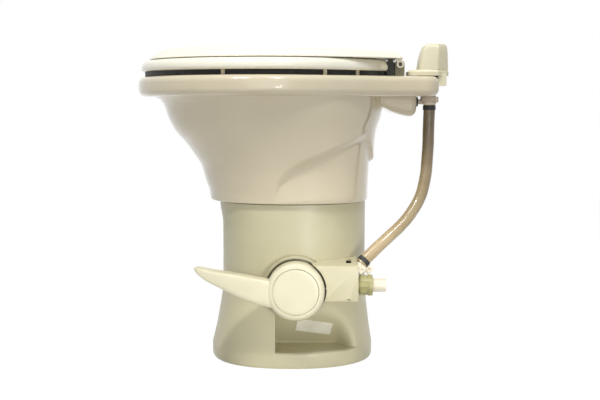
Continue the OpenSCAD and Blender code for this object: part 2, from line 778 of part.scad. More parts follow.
// Pedal: turned boss and an arm whose sections are [y, low, high, inner x, outer x] from the axis
arm_in_x = pad_x + collar_d + pass_gap;
arm_sections = [
    [1, 33, 35, 10, 8], [0.975, 28, 36, 4, 3], [0.89, 17, 34, 0, 0.5], [0.74, 5, 30, 0, 0],
    [0.5, -13, 24, 0, 0], [0.26, -24, 17, 0, 0], [0.02, -30, 10, 0, 1]
];
function arm_ring(s) =
    let (lo = s[1], hi = s[2], x0 = arm_in_x + s[3], x1 = pedal_face_x - 2 - s[4])
    [for (i = [0 : 19]) let (a = -360 * i / 20)
        [(x0 + x1) / 2 + (x1 - x0) / 2 * bent(cos(a), 5), -arm_len * s[0], (lo + hi) / 2
            + (hi - lo) / 2 * bent(sin(a), 4)]];
module pedal() {
    back_x = arm_in_x;
    color(ivory) at_hub() difference() {
        union() {
            x_turn([[0, back_x], [boss_r - 2, back_x], [boss_r, back_x + 3], [boss_r, pedal_face_x - 11],
                [boss_r - 1.2, pedal_face_x - 5], [boss_r - 4, pedal_face_x - 1],
                [cap_r + 2, pedal_face_x], [0, pedal_face_x]]);
            loft([for (s = arm_sections) arm_ring(s)]);
        }
        x_turn([[0, pedal_face_x - cap_depth], [cap_r, pedal_face_x - cap_depth],
            [cap_r, pedal_face_x + 5], [0, pedal_face_x + 5]]);
        x_bar(back_x - 5, shaft_end_x, shaft_r);
        x_bar(shaft_end_x - 1, pedal_face_x, pedal_screw_r + 0.3);
    }
}
cap_depth = 10;
cap_t = 6;
module pedal_cap() {
    low = pedal_face_x - cap_t - 0.4;
    color(ivory) at_hub() x_turn([[0, low], [cap_r - 0.35, low],
        [cap_r - 0.35, pedal_face_x - 1], [cap_r - 1, pedal_face_x - 0.4], [0, pedal_face_x]]);
}
module pedal_screw() {
    color(steel) at_hub() {
        x_bar(shaft_end_x - 15, pedal_face_x - cap_depth, pedal_screw_r);
        x_bar(pedal_face_x - cap_depth, pedal_face_x - cap_depth + 3, pedal_screw_r * 2);
    }
}

// Water valve
valve_back_y = cover_back_y + 2.5;
valve_low_z = hub_z - 11;
valve_high_z = inlet_z + 15;
valve_barrel_r = 12.5;
valve_screw_in = 17;
nut_len = 13;
nut_r = 14.8;
stub_flange_len = 7;
stub_flange_r = 15.4;
module inlet_axis() {
    translate([inlet_x, 0, inlet_z]) children();
}
module at_valve_screws() {
    for (z = [valve_low_z + 5, valve_high_z - 5])
        translate([0, valve_front_y + valve_screw_in, z]) children();
}
module valve_body() {
    color(nut_green) difference() {
        union() {
            box([valve_pad_x, valve_front_y, valve_low_z], [inlet_x + 12, cover_back_y - 14, valve_high_z]);
            inlet_axis() y_bar(cover_back_y - 15, valve_back_y, valve_barrel_r);
            inlet_axis() y_bar(valve_back_y, valve_back_y + nut_len - 4, valve_barrel_r - 2.5);
        }
        plunger_axis() y_bar(valve_front_y - past, valve_front_y + plunger_chamber_len,
            plunger_chamber_r);
        plunger_axis() y_bar(valve_front_y, plunger_to_y - 6, plunger_r + run_gap);
        plunger_axis() y_bar(plunger_to_y - 7, plunger_to_y + plunger_lift + 1.5, plunger_r + 1.2);
        inlet_axis() y_bar(cover_back_y - 8, valve_back_y + nut_len, inlet_r - 4);
        bar(barb_foot, barb_end, barb_r);
        at_valve_screws() x_bar(valve_pad_x - 1, inlet_x + 13, screw_r);
    }
}
module valve_screws() {
    color(steel) at_valve_screws() {
        x_bar(valve_pad_x - 11, inlet_x + 12, screw_r);
        x_bar(inlet_x + 12, inlet_x + 14, screw_r * 2);
    }
}
module inlet_nut() {
    color(nut_green) inlet_axis() difference() {
        union() {
            y_bar(valve_back_y + rest_gap, valve_back_y + nut_len + stub_flange_len, nut_r);
            y_bar(valve_back_y + nut_len, valve_back_y + nut_len + stub_flange_len, stub_flange_r + 0.6);
            for (a = [0 : 30 : 330])
                rotate([0, a, 0]) translate([nut_r, 0, 0])
                    y_bar(valve_back_y + 2, valve_back_y + nut_len - 2, 0.9);
        }
        y_bar(valve_back_y - past, valve_back_y + nut_len - 3, valve_barrel_r - 2.5 + run_gap);
        y_bar(valve_back_y + nut_len - 4, valve_back_y + nut_len + stub_flange_len - 2.5,
            stub_flange_r - 3 + rest_gap);
        y_bar(valve_back_y, stub_end_y, inlet_r + run_gap);
    }
}
stub_seat_y = valve_back_y + nut_len - 4;
module inlet_washer() {
    color(rubber_black) inlet_axis() difference() {
        y_bar(stub_seat_y, stub_seat_y + 2, inlet_r - 0.6);
        y_bar(stub_seat_y - 1, stub_seat_y + 3, inlet_r - 4);
    }
}
stub_thread_y = valve_back_y + nut_len + stub_flange_len + rest_gap;
stub_end_y = stub_thread_y + inlet_len;
thread_depth = 1;
module inlet_stub() {
    color(warm_white) inlet_axis() difference() {
        union() {
            y_bar(stub_seat_y + 2, stub_seat_y + 6, stub_flange_r - 3);
            y_bar(stub_seat_y + 5, stub_thread_y, inlet_r - thread_depth);
            y_bar(stub_thread_y, stub_end_y, inlet_r);
        }
        y_bar(stub_seat_y, stub_end_y + 1, inlet_r - 3.3);
    }
}
module inlet_screen() {
    color(steel) inlet_axis() difference() {
        y_bar(stub_seat_y + 4, stub_seat_y + 12, inlet_r - 3.4);
        y_bar(stub_seat_y + 5, stub_seat_y + 13, inlet_r - 4.6);
        for (x = [-3, 0, 3], z = [-3, 0, 3])
            translate([x, 0, z]) y_bar(stub_seat_y + 3, stub_seat_y + 6, 0.9);
    }
}
barb_r = 5.4;
barb_foot = [129.5, 87, 144.5];
barb_end = [121.6, 106.4, 162.9];
module hose_barb() {
    u = unit(barb_end - barb_foot);
    color(warm_white) difference() {
        union() {
            bar(barb_foot, barb_end, barb_r);
            bar(barb_end - 9 * u, barb_end - 3 * u, barb_r + 1.8);
            difference() {
                lug();
                bar(barb_end, hose_route[17], hose_r + rest_gap);
            }
        }
        bar(barb_foot + 4 * u, barb_end + u, barb_r - 2);
    }
}
// Fixing ear on the barb's elbow, turned with it
lug_size = [5, 13, 9];
module lug() {
    translate(barb_end - 7 * unit(barb_end - barb_foot) + [4, 5.5, -3])
        rotate([45, 0, 0]) difference() {
            cube(lug_size, center = true);
            x_bar(-4, 4, 1.2);
        }
}

// Cover over the valve
cover_low_z = 109;
cover_high_z = 164;
cover_rise = 3;
cover_gap = 3;
cover_wall = 2.5;
module cover_form(inset) {
    low_y = hub_y + 20;
    translate([0, low_y, 0]) rotate([90, 0, 180]) mirror([1, 0, 0])
        linear_extrude(height = cover_back_y - inset - low_y)
            polygon([[60, cover_low_z + inset], [cover_x - inset - 2, cover_low_z + inset],
                [cover_x - inset, cover_low_z + inset + 2], [cover_x - inset, cover_high_z - inset - 3],
                [cover_x - inset - 3, cover_high_z - inset], [pad_x, cover_high_z + cover_rise - inset],
                [60, cover_high_z + cover_rise - inset]]);
}
module valve_cover() {
    color(ivory) difference() {
        cover_form(0);
        cover_form(cover_wall);
        shell_form(-rest_gap, 0, 0);
        at_hub() x_bar(0, pad_x + collar_d + rest_gap, collar_r + rest_gap + 0.5);
        at_hub() x_bar(0, cover_x + past, boss_r + cover_gap);
        box([0, 0, 0], [pad_x + 3, hub_y + 51, 200]);
        inlet_axis() y_bar(cover_back_y - 10, cover_back_y + past, valve_barrel_r + 0.6);
        bar(barb_foot, barb_end, barb_r + 3);
        bar(barb_end, hose_route[17], hose_r + rest_gap);
        box([cover_x - 16, cover_back_y - 18, cover_high_z - 4],
            [cover_x - 9, cover_back_y - 10, cover_high_z + 9]);
        box([cover_x - 3, cover_back_y - 18, cover_low_z - 1],
            [cover_x + 1, cover_back_y - 13, cover_low_z + 1.2]);
    }
}

// Vacuum breaker on the deck
gasket_t = 1.5;
breaker_flange_t = 9;
body_top_z = rim_top_z + cap_h - 6;
breaker_low_z = rim_low_z - 13;
spigot_z = rim_low_z - 8;
spigot_r = 6;
grommet_r = spigot_r + 2;
// Plan of the breaker: square in front, drawn to a blunt point behind
module breaker_plan(grow) {
    for (p = [[-17, -13], [17, -13], [16, 8], [-16, 8], [-5, 22], [5, 22]])
        translate([breaker_x, breaker_y, 0] + [p.x, p.y, 0]) circle(r = 6 + grow, $fn = blend_n);
}
module breaker_flange() {
    hull() {
        linear_extrude(height = breaker_flange_t - 3) {
            breaker_plan(1);
            for (x = [-15, 15])
                translate([breaker_x + x, breaker_y - 29]) circle(r = 7, $fn = blend_n);
        }
        linear_extrude(height = breaker_flange_t) {
            breaker_plan(-0.5);
            for (x = [-15, 15])
                translate([breaker_x + x, breaker_y - 27]) circle(r = 5, $fn = blend_n);
        }
    }
}
module breaker_body() {
    flange_z = rim_top_z + gasket_t;
    color(ivory) difference() {
        union() {
            translate([0, 0, flange_z]) breaker_flange();
            translate([breaker_x, breaker_y, breaker_low_z])
                cylinder(h = flange_z - breaker_low_z + 2, r = shank_r, $fn = round_n);
            translate([breaker_x, breaker_y + 2, flange_z])
                cylinder(h = body_top_z - flange_z, r = chamber_r + 3, $fn = round_n);
            box([breaker_x - 17, deck_back + pass_gap, rim_top_z - 14],
                [breaker_x + 17, deck_back + 14, flange_z + 4]);
        }
        translate([breaker_x, breaker_y, breaker_low_z - past])
            cylinder(h = chamber_z - breaker_low_z + 2 * past, r = shank_r - 3.5, $fn = round_n);
        translate([breaker_x, breaker_y + 2, chamber_z])
            cylinder(h = chamber_top_z - chamber_z, r = chamber_r, $fn = round_n);
        for (a = [0 : 60 : 300])
            translate([breaker_x, breaker_y + 2, 0]) rotate([0, 0, a]) translate([8, 0, body_top_z - 5])
                cylinder(h = 8, r = 2, $fn = round_n);
    }
}
chamber_r = 12;
chamber_z = rim_top_z + gasket_t + breaker_flange_t;
chamber_top_z = body_top_z - 3;
float_t = 6;
module breaker_float() {
    color(warm_white) translate([breaker_x, breaker_y + 2, chamber_z + rest_gap]) {
        cylinder(h = float_t, r = chamber_r - rest_gap, $fn = round_n);
        cylinder(h = chamber_top_z - float_lift - chamber_z - 2 * rest_gap, r = 3, $fn = round_n);
    }
}
module breaker_cover() {
    low = rim_top_z + gasket_t + breaker_flange_t;
    high = rim_top_z + cap_h;
    color(ivory) difference() {
        hull() {
            translate([0, 0, low]) linear_extrude(height = 1) breaker_plan(-1);
            translate([0, 0, high - 4]) linear_extrude(height = 1) breaker_top_plan(0);
            translate([0, 0, high - 1]) linear_extrude(height = 1) breaker_top_plan(-3);
        }
        translate([breaker_x, breaker_y + 2, low - past])
            cylinder(h = body_top_z - low + past + rest_gap, r = chamber_r + 3 + rest_gap, $fn = round_n);
    }
}
module breaker_top_plan(grow) {
    for (p = [[-15, -9], [15, -9], [15, 9], [-15, 9], [-5, 21], [5, 21]])
        translate([breaker_x + p.x, breaker_y + p.y]) circle(r = 6 + grow, $fn = blend_n);
}
module breaker_gasket() {
    color(rubber_black) translate([breaker_x, breaker_y, rim_top_z]) difference() {
        cylinder(h = gasket_t, r = 18, $fn = round_n);
        translate([0, 0, -past]) cylinder(h = gasket_t + 2 * past, r = shank_r, $fn = round_n);
        box([-20, deck_back - breaker_y, -past], [20, 20, gasket_t + past]);
    }
}
// Fitting under the deck that leads the water into the shelf
fitting_r = 14.3;
fitting_low_z = breaker_low_z + 4;
module outlet_fitting() {
    color("#B9AA98") difference() {
        union() {
            translate([breaker_x, breaker_y, fitting_low_z])
                cylinder(h = rim_low_z - fitting_low_z, r = fitting_r, $fn = round_n);
            translate([breaker_x, 0, spigot_z])
                y_bar(shelf_back - 14, breaker_y - shank_r - 1, spigot_r - 2);
        }
        translate([breaker_x, breaker_y, fitting_low_z - past])
            cylinder(h = rim_low_z - fitting_low_z + 2 * past, r = shank_r, $fn = round_n);
        translate([breaker_x, 0, spigot_z])
            y_bar(shelf_back - 15, breaker_y - shank_r, spigot_r - 3.6);
    }
}
module inlet_grommet() {
    color(rubber_black) translate([breaker_x, 0, spigot_z]) difference() {
        union() {
            y_bar(shelf_back - 16, shelf_back - rest_gap, grommet_r);
            y_bar(shelf_back, shelf_back + 3, grommet_r - 0.5);
            y_bar(shelf_back - 1, shelf_back + 1, grommet_r - 1);
        }
        y_bar(shelf_back - 17, shelf_back + 5, spigot_r - 2);
    }
}
module breaker_nut() {
    color(warm_white) difference() {
        translate([breaker_x, breaker_y, fitting_low_z - 3])
            cylinder(h = 3, r = shank_r + 0.8, $fn = round_n);
        translate([breaker_x, breaker_y, fitting_low_z - 4]) cylinder(h = 6, r = shank_r, $fn = round_n);
    }
}

// Hose from the breaker down to the valve: [x, y, z] along its middle
hose_route = [
    [40, 217.5, 404], [40, 217.5, 394], [40, 217, 380], [40.5, 216.5, 360], [42.5, 216, 341],
    [47.5, 214, 318], [53.5, 212, 299], [60, 208.5, 283], [66, 204, 267], [71, 197.5, 253],
    [77, 189, 240], [83, 179.5, 228], [90, 168, 216.5], [97, 155.5, 206], [104, 143.5, 196],
    [110, 132, 186.5], [115, 121.5, 177], [118.9, 112.9, 169.2], [121.6, 106.4, 162.9]
];
module supply_hose() {
    color(vinyl) tube(hose_route, [1, 0, 0], hose_r, 10);
}
module hose_clamp(from, to) {
    color(rubber_black) difference() {
        bar(from, to, hose_r + clamp_t);
        bar(from + (from - to), to + (to - from), hose_r);
    }
}
module lower_hose_clamp() {
    u = unit(hose_route[17] - hose_route[18]);
    hose_clamp(barb_end + 2 * u, barb_end + (2 + clamp_w) * u);
}
module upper_hose_clamp() {
    low = [breaker_x, breaker_y, breaker_low_z - 1 - clamp_w];
    hose_clamp(low, low + [0, 0, clamp_w]);
}

// Seat and lid
seat_front = rim_front - seat_in;
seat_half_w = rim_half_w - seat_in + 1;
seat_plan = [seat_front, seat_half_w, 85, 46, seat_back, seat_back_half_w, 15];
module seat() {
    color(seat_white) difference() {
        rounded_slab(seat_low_z, seat_top_z, 4, 9, seat_plan);
        at_post() seat_tongue();
        loft([
            seat_hole(seat_low_z - past, 0), seat_hole(seat_low_z + 6, 0), seat_hole(seat_low_z + 12, 3),
            seat_hole(seat_top_z - 1.5, 9), seat_hole(seat_top_z + past, 15)]);
    }
}
seat_hole_front = 186;
seat_hole_back = 60;
seat_hole_mid = -62;
function seat_hole(z, grow) =
    outline(z, seat_hole_front + grow, seat_hole_back + grow, seat_hole_half_w + grow, seat_hole_mid,
        2.1, 2.3, 40);
bumper_places = [[158, -100], [142, 50], [104, 100]];
bumper_r = 3;
module seat_bumpers() {
    color(warm_white) both_sides()
        for (p = bumper_places)
            translate([p.x, p.y, rim_top_z + rest_gap])
                cylinder(h = seat_gap - rest_gap, r = bumper_r, $fn = round_n);
}
// Lid: [inset, height] up its rounded edge, then [share of that last ring, height] over the crown
lid_plan = [seat_front - lid_in, seat_half_w - lid_in, 85, 36, lid_back, seat_back_half_w + 6, 10];
lid_edge = [[1.5, 0], [0, 0.04], [1.8, 0.11], [6.8, 0.3], [13.5, 0.51], [22, 0.68]];
lid_crown = [[0.907, 0.75], [0.735, 0.89], [0.536, 0.965], [0.28, 0.99], [0.1, 1]];
crown_mid_y = -35;
function crown_ring(share, z) =
    let (mid = [0, crown_mid_y])
    [for (p = plan(z, lid_edge[5][0], lid_plan))
        [mid.x + (p.x - mid.x) * share, mid.y + (p.y - mid.y) * share, z]];
module lid() {
    color(seat_white)
        loft(concat([for (s = lid_edge) plan(lid_low_z + s[1] * lid_h, s[0], lid_plan)],
            [for (s = lid_crown) crown_ring(s[0], lid_low_z + s[1] * lid_h)]));
}
lid_bumper_places = [[145, -100], [120, 60]];
module lid_bumpers() {
    color(warm_white) both_sides()
        for (p = lid_bumper_places)
            translate([p.x, p.y, seat_top_z + rest_gap])
                cylinder(h = lid_gap - rest_gap, r = 6, $fn = round_n);
}

// Hinge: posts on the deck, leaves on the seat inside them and on the lid outside them
hinge_bolt_r = 4;
pocket_r = 12;
pocket_h = 17;
module at_post() {
    both_sides() translate([post_x, hinge_y, 0]) children();
}
module hinge_posts() {
    color(shade_plastic) at_post() difference() {
        union() {
            box([-post_w / 2, -post_r, rim_top_z], [post_w / 2, post_r, hinge_z]);
            translate([0, 0, hinge_z]) x_bar(-post_w / 2, post_w / 2, post_r);
        }
        translate([0, 0, hinge_z]) x_bar(-post_w, post_w, hinge_pin_r);
        translate([0, 0, rim_top_z - past]) cylinder(h = 11, r = hinge_bolt_r, $fn = round_n);
    }
}
module hinge_pins() {
    reach = post_w / 2 + rest_gap + leaf_w;
    color(steel) at_post() translate([0, 0, hinge_z]) difference() {
        x_bar(-reach, reach + 0.5, hinge_pin_r);
        x_bar(reach - 3, reach + 2, hinge_pin_r - 1);
    }
}
module hinge_bolts() {
    color(steel) at_post()
        translate([0, 0, rim_low_z + 1]) cylinder(h = rim_h + 9, r = hinge_bolt_r, $fn = round_n);
}
module hinge_nuts() {
    color(warm_white) at_post() difference() {
        union() {
            translate([0, 0, rim_low_z + 4]) cylinder(h = pocket_h - 4, r = 8, $fn = round_n);
            translate([0, 0, rim_low_z + pocket_h - 4]) cylinder(h = 4, r = 11, $fn = round_n);
        }
        translate([0, 0, rim_low_z - 5]) cylinder(h = 30, r = hinge_bolt_r, $fn = round_n);
    }
}
knuckle_r = 5.6;
leaf_tongue = 12;
module seat_tongue() {
    x1 = -post_w / 2 - rest_gap;
    box([x1 - leaf_w, seat_back - hinge_y - leaf_tongue, hinge_z - 4], [x1, 0, hinge_z + 4]);
}
module seat_leaves() {
    x1 = -post_w / 2 - rest_gap;
    color(rubber_black) at_post() difference() {
        union() {
            translate([0, 0, hinge_z]) x_bar(x1 - leaf_w, x1, knuckle_r);
            seat_tongue();
        }
        translate([0, 0, hinge_z]) x_bar(x1 - leaf_w - 1, x1 + 1, hinge_pin_r + run_gap);
    }
}
module lid_leaves() {
    x0 = post_w / 2 + rest_gap;
    color(seat_white) at_post() difference() {
        union() {
            translate([0, 0, hinge_z]) x_bar(x0, x0 + leaf_w, knuckle_r);
            box([x0, -knuckle_r, hinge_z], [x0 + leaf_w, 3, lid_low_z]);
        }
        translate([0, 0, hinge_z]) x_bar(x0 - 1, x0 + leaf_w + 1, hinge_pin_r + run_gap);
    }
}

// Blank label on the sloping wall of the side recess
label_w = 56;
label_h = 32;
label_t = 0.5;
module label_plate() {
    tilt = atan2(recess_top_z - ledge_z, waist_half_w - recess_in);
    color(sheet_white)
        translate([mix(recess_in, waist_half_w, 0.5), 36, mix(ledge_z, recess_top_z, 0.5)])
            rotate([0, -tilt, 0]) rotate([0, 0, 6])
                translate([-label_h / 2, -label_w / 2, -1.2]) cube([label_h, label_w, label_t]);
}

bowl();
pedestal();
skirt_strip();
throat_clamp();
clamp_bolt();
ball_seal();
floor_seal();
near_bushing();
far_bushing();
spring_collar();
collar_screws();
return_spring();
valve_cover();
valve_body();
valve_screws();
inlet_screen();
inlet_stub();
inlet_nut();
inlet_washer();
hose_barb();
supply_hose();
lower_hose_clamp();
upper_hose_clamp();
breaker_body();
breaker_cover();
breaker_gasket();
outlet_fitting();
breaker_nut();
inlet_grommet();
breaker_float();
hinge_posts();
hinge_pins();
hinge_bolts();
hinge_nuts();
label_plate();
seat();
seat_leaves();
seat_bumpers();
lid();
lid_leaves();
lid_bumpers();
pedal();
pedal_cap();
pedal_screw();
drive_shaft();
shaft_rings();
flush_ball();
ball_pins();
valve_cam();
valve_plunger();
plunger_seal();
plunger_spring();
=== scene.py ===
import json
import math

import bmesh
import bpy
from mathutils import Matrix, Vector


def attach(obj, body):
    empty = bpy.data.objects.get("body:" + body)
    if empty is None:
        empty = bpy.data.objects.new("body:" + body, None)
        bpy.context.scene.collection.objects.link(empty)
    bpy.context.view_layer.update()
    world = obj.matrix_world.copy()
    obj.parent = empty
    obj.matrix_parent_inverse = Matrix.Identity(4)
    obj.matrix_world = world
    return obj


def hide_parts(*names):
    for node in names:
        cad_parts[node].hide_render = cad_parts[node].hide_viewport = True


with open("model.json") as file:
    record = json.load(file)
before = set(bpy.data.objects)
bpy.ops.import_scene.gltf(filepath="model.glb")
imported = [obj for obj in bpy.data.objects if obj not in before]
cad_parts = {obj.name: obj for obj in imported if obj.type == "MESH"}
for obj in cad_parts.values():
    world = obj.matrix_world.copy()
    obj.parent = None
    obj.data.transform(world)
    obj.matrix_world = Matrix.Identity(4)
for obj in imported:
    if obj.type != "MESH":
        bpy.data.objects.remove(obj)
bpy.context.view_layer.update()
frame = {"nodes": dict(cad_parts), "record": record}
nodes = frame["nodes"]
mm = 0.001
hubCentre = (0, 6.5, 126)
breakerCentre = (40, 217.5)


def addObject(name, data):
    obj = bpy.data.objects.new(name, data)
    bpy.context.scene.collection.objects.link(obj)
    return obj


# Camera: square to the pedal side, just below the rim's height and looking slightly down
cameraSet = {"place": (1.7, 0.013, 0.402), "lens": 62.7, "down": 5.13}
cameraData = bpy.data.cameras.new("photoCamera")
cameraData.lens = cameraSet["lens"]
camera = addObject("photoCamera", cameraData)
camera.location = cameraSet["place"]
camera.rotation_euler = (math.radians(90 - cameraSet["down"]), 0, math.radians(90))
bpy.context.scene.camera = camera
bpy.context.scene.view_settings.view_transform = "Standard"


def mix(a, b, t):
    return a + (b - a) * t


def mixPoint(p, q, t):
    return tuple(mix(u, v, t) for u, v in zip(p, q))


# Soft step from 0 to 1 while v runs from start over a distance
def ease(v, start, over):
    t = min(1.0, max(0.0, (v - start) / over))
    return t * t * (3 - 2 * t)


def fullTurn(count):
    return [2 * math.pi * i / count for i in range(count)]


# A rounded edge in equal steps, as how far it has left its first side and is still off its second
def roundSteps(count):
    angles = (math.radians(90 * k / count) for k in range(count + 1))
    return [(1 - math.cos(a), 1 - math.sin(a)) for a in angles]


# Value from a table of rows, read along a smooth curve that never overshoots
def curveAt(x, table, column=1):
    if x <= table[0][0]:
        return table[0][column]
    if x >= table[-1][0]:
        return table[-1][column]
    i = max(k for k in range(len(table) - 1) if table[k][0] <= x)
    span = table[i + 1][0] - table[i][0]
    t = (x - table[i][0]) / span

    def step(a, b):
        return (table[b][column] - table[a][column]) / (table[b][0] - table[a][0])

    def slope(k):
        if k == 0:
            return step(0, 1)
        if k == len(table) - 1:
            return step(k - 1, k)
        left, right = step(k - 1, k), step(k, k + 1)
        return 0 if left * right <= 0 else 2 * left * right / (left + right)

    m0, m1 = slope(i) * span, slope(i + 1) * span
    return ((2 * t**3 - 3 * t**2 + 1) * table[i][column] + (t**3 - 2 * t**2 + t) * m0
            + (-2 * t**3 + 3 * t**2) * table[i + 1][column] + (t**3 - t**2) * m1)


def bent(v, n):
    return math.copysign(abs(v) ** (2 / n), v)


# Point on a rounded outline: angle in degrees, reaches in mm
def onOutline(angle, z, front, back, halfW, mid, nFront, nBack):
    a = math.radians(angle)
    c, s = math.cos(a), math.sin(a)
    n = nFront if s < 0 else nBack
    reach = front + mid if s < 0 else back - mid
    return (halfW * bent(c, n), mid + reach * bent(s, n), z)


# Where a ray from the middle of a rounded outline, in the direction of x and y, meets it
def alongRay(x, y, z, front, back, half, mid, nFront, nBack):
    heading = math.atan2(y, x)
    c, d = math.cos(heading), math.sin(heading)
    reach, n = (front + mid, nFront) if d < 0 else (back - mid, nBack)
    r = (abs(c / half) ** n + abs(d / reach) ** n) ** (-1 / n)
    return (r * c, mid + r * d, z)


# Box outline with rounded corners, as pairs between two low and two high values
def boxOutline(low, high, rounds, count):
    (u0, v0), (u1, v1), (n, m) = low, high, rounds
    return [((u0 + u1) / 2 + (u1 - u0) / 2 * bent(math.cos(a), n),
             (v0 + v1) / 2 + (v1 - v0) / 2 * bent(math.sin(a), m)) for a in fullTurn(count)]


# Point from two coordinates across an axis and one along it
def across(axis, u, v, w):
    return {"x": (w, u, v), "y": (u, w, v), "z": (u, v, w)}[axis]


# Skin over rings of equal count; closed joins the last ring to the first
def loft(rings, closed=False):
    n, m = len(rings[0]), len(rings)
    verts = [p for r in rings for p in r]
    faces = []
    for j in range(m if closed else m - 1):
        for i in range(n):
            a, b = j * n + i, j * n + (i + 1) % n
            k = ((j + 1) % m) * n
            faces.append((a, b, k + (i + 1) % n, k + i))
    if not closed:
        faces.append(tuple(reversed(range(n))))
        faces.append(tuple(range((m - 1) * n, m * n)))
    return verts, faces


def smoothShade(mesh, sharpDeg):
    for p in mesh.polygons:
        p.use_smooth = True
    mesh.set_sharp_from_angle(angle=math.radians(sharpDeg))


# Object from points in mm, smooth, with edges sharper than the angle kept crisp
def addMesh(name, verts, faces, material, sharpDeg=40):
    mesh = bpy.data.meshes.new(name)
    mesh.from_pydata([Vector(v) * mm for v in verts], [], faces)
    mesh.validate()
    b = bmesh.new()
    b.from_mesh(mesh)
    bmesh.ops.recalc_face_normals(b, faces=b.faces)
    b.to_mesh(mesh)
    b.free()
    smoothShade(mesh, sharpDeg)
    if material:
        mesh.materials.append(material)
    return addObject(name, mesh)


def addLoft(name, rings, material=None, sharpDeg=40, closed=False):
    return addMesh(name, *loft(rings, closed), material, sharpDeg)


# Flat outline drawn out along an axis between two ends
def prism(name, outline, axis, ends, material=None, sharpDeg=40):
    rings = [[across(axis, u, v, w) for u, v in outline] for w in ends]
    return addLoft(name, rings, material, sharpDeg)


def boxMesh(name, low, high, material=None):
    (x0, y0, z0), (x1, y1, z1) = low, high
    return prism(name, [(x0, y0), (x1, y0), (x1, y1), (x0, y1)], "z", (z0, z1), material)


# Profile of (radius, height) points turned about an axis through the centre
def turned(name, profile, centre, axis, material, count=96, sharpDeg=35, closed=False):
    rings = []
    for r, h in profile:
        offsets = [across(axis, r * math.cos(a), r * math.sin(a), h) for a in fullTurn(count)]
        rings.append([tuple(c + d for c, d in zip(centre, offset)) for offset in offsets])
    return addLoft(name, rings, material, sharpDeg, closed)


def applyModifiers(obj, sharpDeg):
    bpy.context.view_layer.update()
    depsgraph = bpy.context.evaluated_depsgraph_get()
    mesh = bpy.data.meshes.new_from_object(obj.evaluated_get(depsgraph))
    obj.modifiers.clear()
    obj.data = mesh
    smoothShade(mesh, sharpDeg)
    return obj


def cutWith(obj, cutters, sharpDeg=40):
    for cutter in cutters:
        m = obj.modifiers.new("cut", "BOOLEAN")
        m.operation = "DIFFERENCE"
        m.solver = "EXACT"
        m.object = cutter
    applyModifiers(obj, sharpDeg)
    for cutter in cutters:
        bpy.data.objects.remove(cutter)


def roundEdges(obj, width, angle=35):
    m = obj.modifiers.new("round", "BEVEL")
    m.width = width * mm
    m.segments = 3
    m.limit_method = "ANGLE"
    m.angle_limit = math.radians(angle)
    m.harden_normals = True


# Puts a piece on its body and hides the CAD nodes that it replaces
def place(obj, body, slotName, *replaced):
    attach(obj, body)
    if replaced:
        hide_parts(*replaced)


# Materials: each colour drifts between two tones, and a fine relief breaks up the gloss.
# wire sets each input of a node to a value, or links it to another node's output.
def wire(tree, node, inputs):
    for key, value in inputs.items():
        if isinstance(value, bpy.types.NodeSocket):
            tree.links.new(value, node.inputs[key])
        else:
            node.inputs[key].default_value = value
    return node


def addNode(tree, kind, inputs):
    return wire(tree, tree.nodes.new("ShaderNode" + kind), inputs)


def newMaterial(name, color, rough, inputs):
    material = bpy.data.materials.new(name)
    material.use_nodes = True
    tree = material.node_tree
    shader = tree.nodes["Principled BSDF"]
    wire(tree, shader, {"Base Color": (*color, 1), "Roughness": rough, **inputs})
    return material, tree, shader


def linear(hexColor):
    values = [int(hexColor[i:i + 2], 16) / 255 for i in (1, 3, 5)]
    return [v / 12.92 if v <= 0.04045 else ((v + 0.055) / 1.055) ** 2.4 for v in values]


even = (1, 1, 1)
noiseSet = {"rough": 0.55, "tintFrom": 0.35, "tintTo": 0.65, "wearFrom": 0.3, "wearTo": 0.7}


def noiseNode(tree, scale, detail, stretch=even):
    coord = addNode(tree, "TexCoord", {})
    mapping = addNode(tree, "Mapping", {"Vector": coord.outputs["Object"], "Scale": stretch})
    return addNode(tree, "TexNoise", {"Vector": mapping.outputs["Vector"], "Scale": scale,
                                      "Detail": detail, "Roughness": noiseSet["rough"]})


def varyColor(tree, shader, noise, low, high):
    ramp = addNode(tree, "ValToRGB", {"Fac": noise.outputs["Fac"]})
    for end, at, color in zip(ramp.color_ramp.elements, ("tintFrom", "tintTo"), (low, high)):
        end.position = noiseSet[at]
        end.color = (*color, 1)
    wire(tree, shader, {"Base Color": ramp.outputs["Color"]})
    return ramp


def varyRough(tree, shader, noise, low, high):
    span = addNode(tree, "MapRange", {
        "Value": noise.outputs["Fac"], "From Min": noiseSet["wearFrom"],
        "From Max": noiseSet["wearTo"], "To Min": low, "To Max": high})
    wire(tree, shader, {"Roughness": span.outputs["Result"]})


def addBump(tree, shader, noise, depth, strength):
    bump = addNode(tree, "Bump", {"Distance": depth * mm, "Strength": strength,
                                  "Height": noise.outputs["Fac"]})
    wire(tree, shader, {"Normal": bump.outputs["Normal"]})


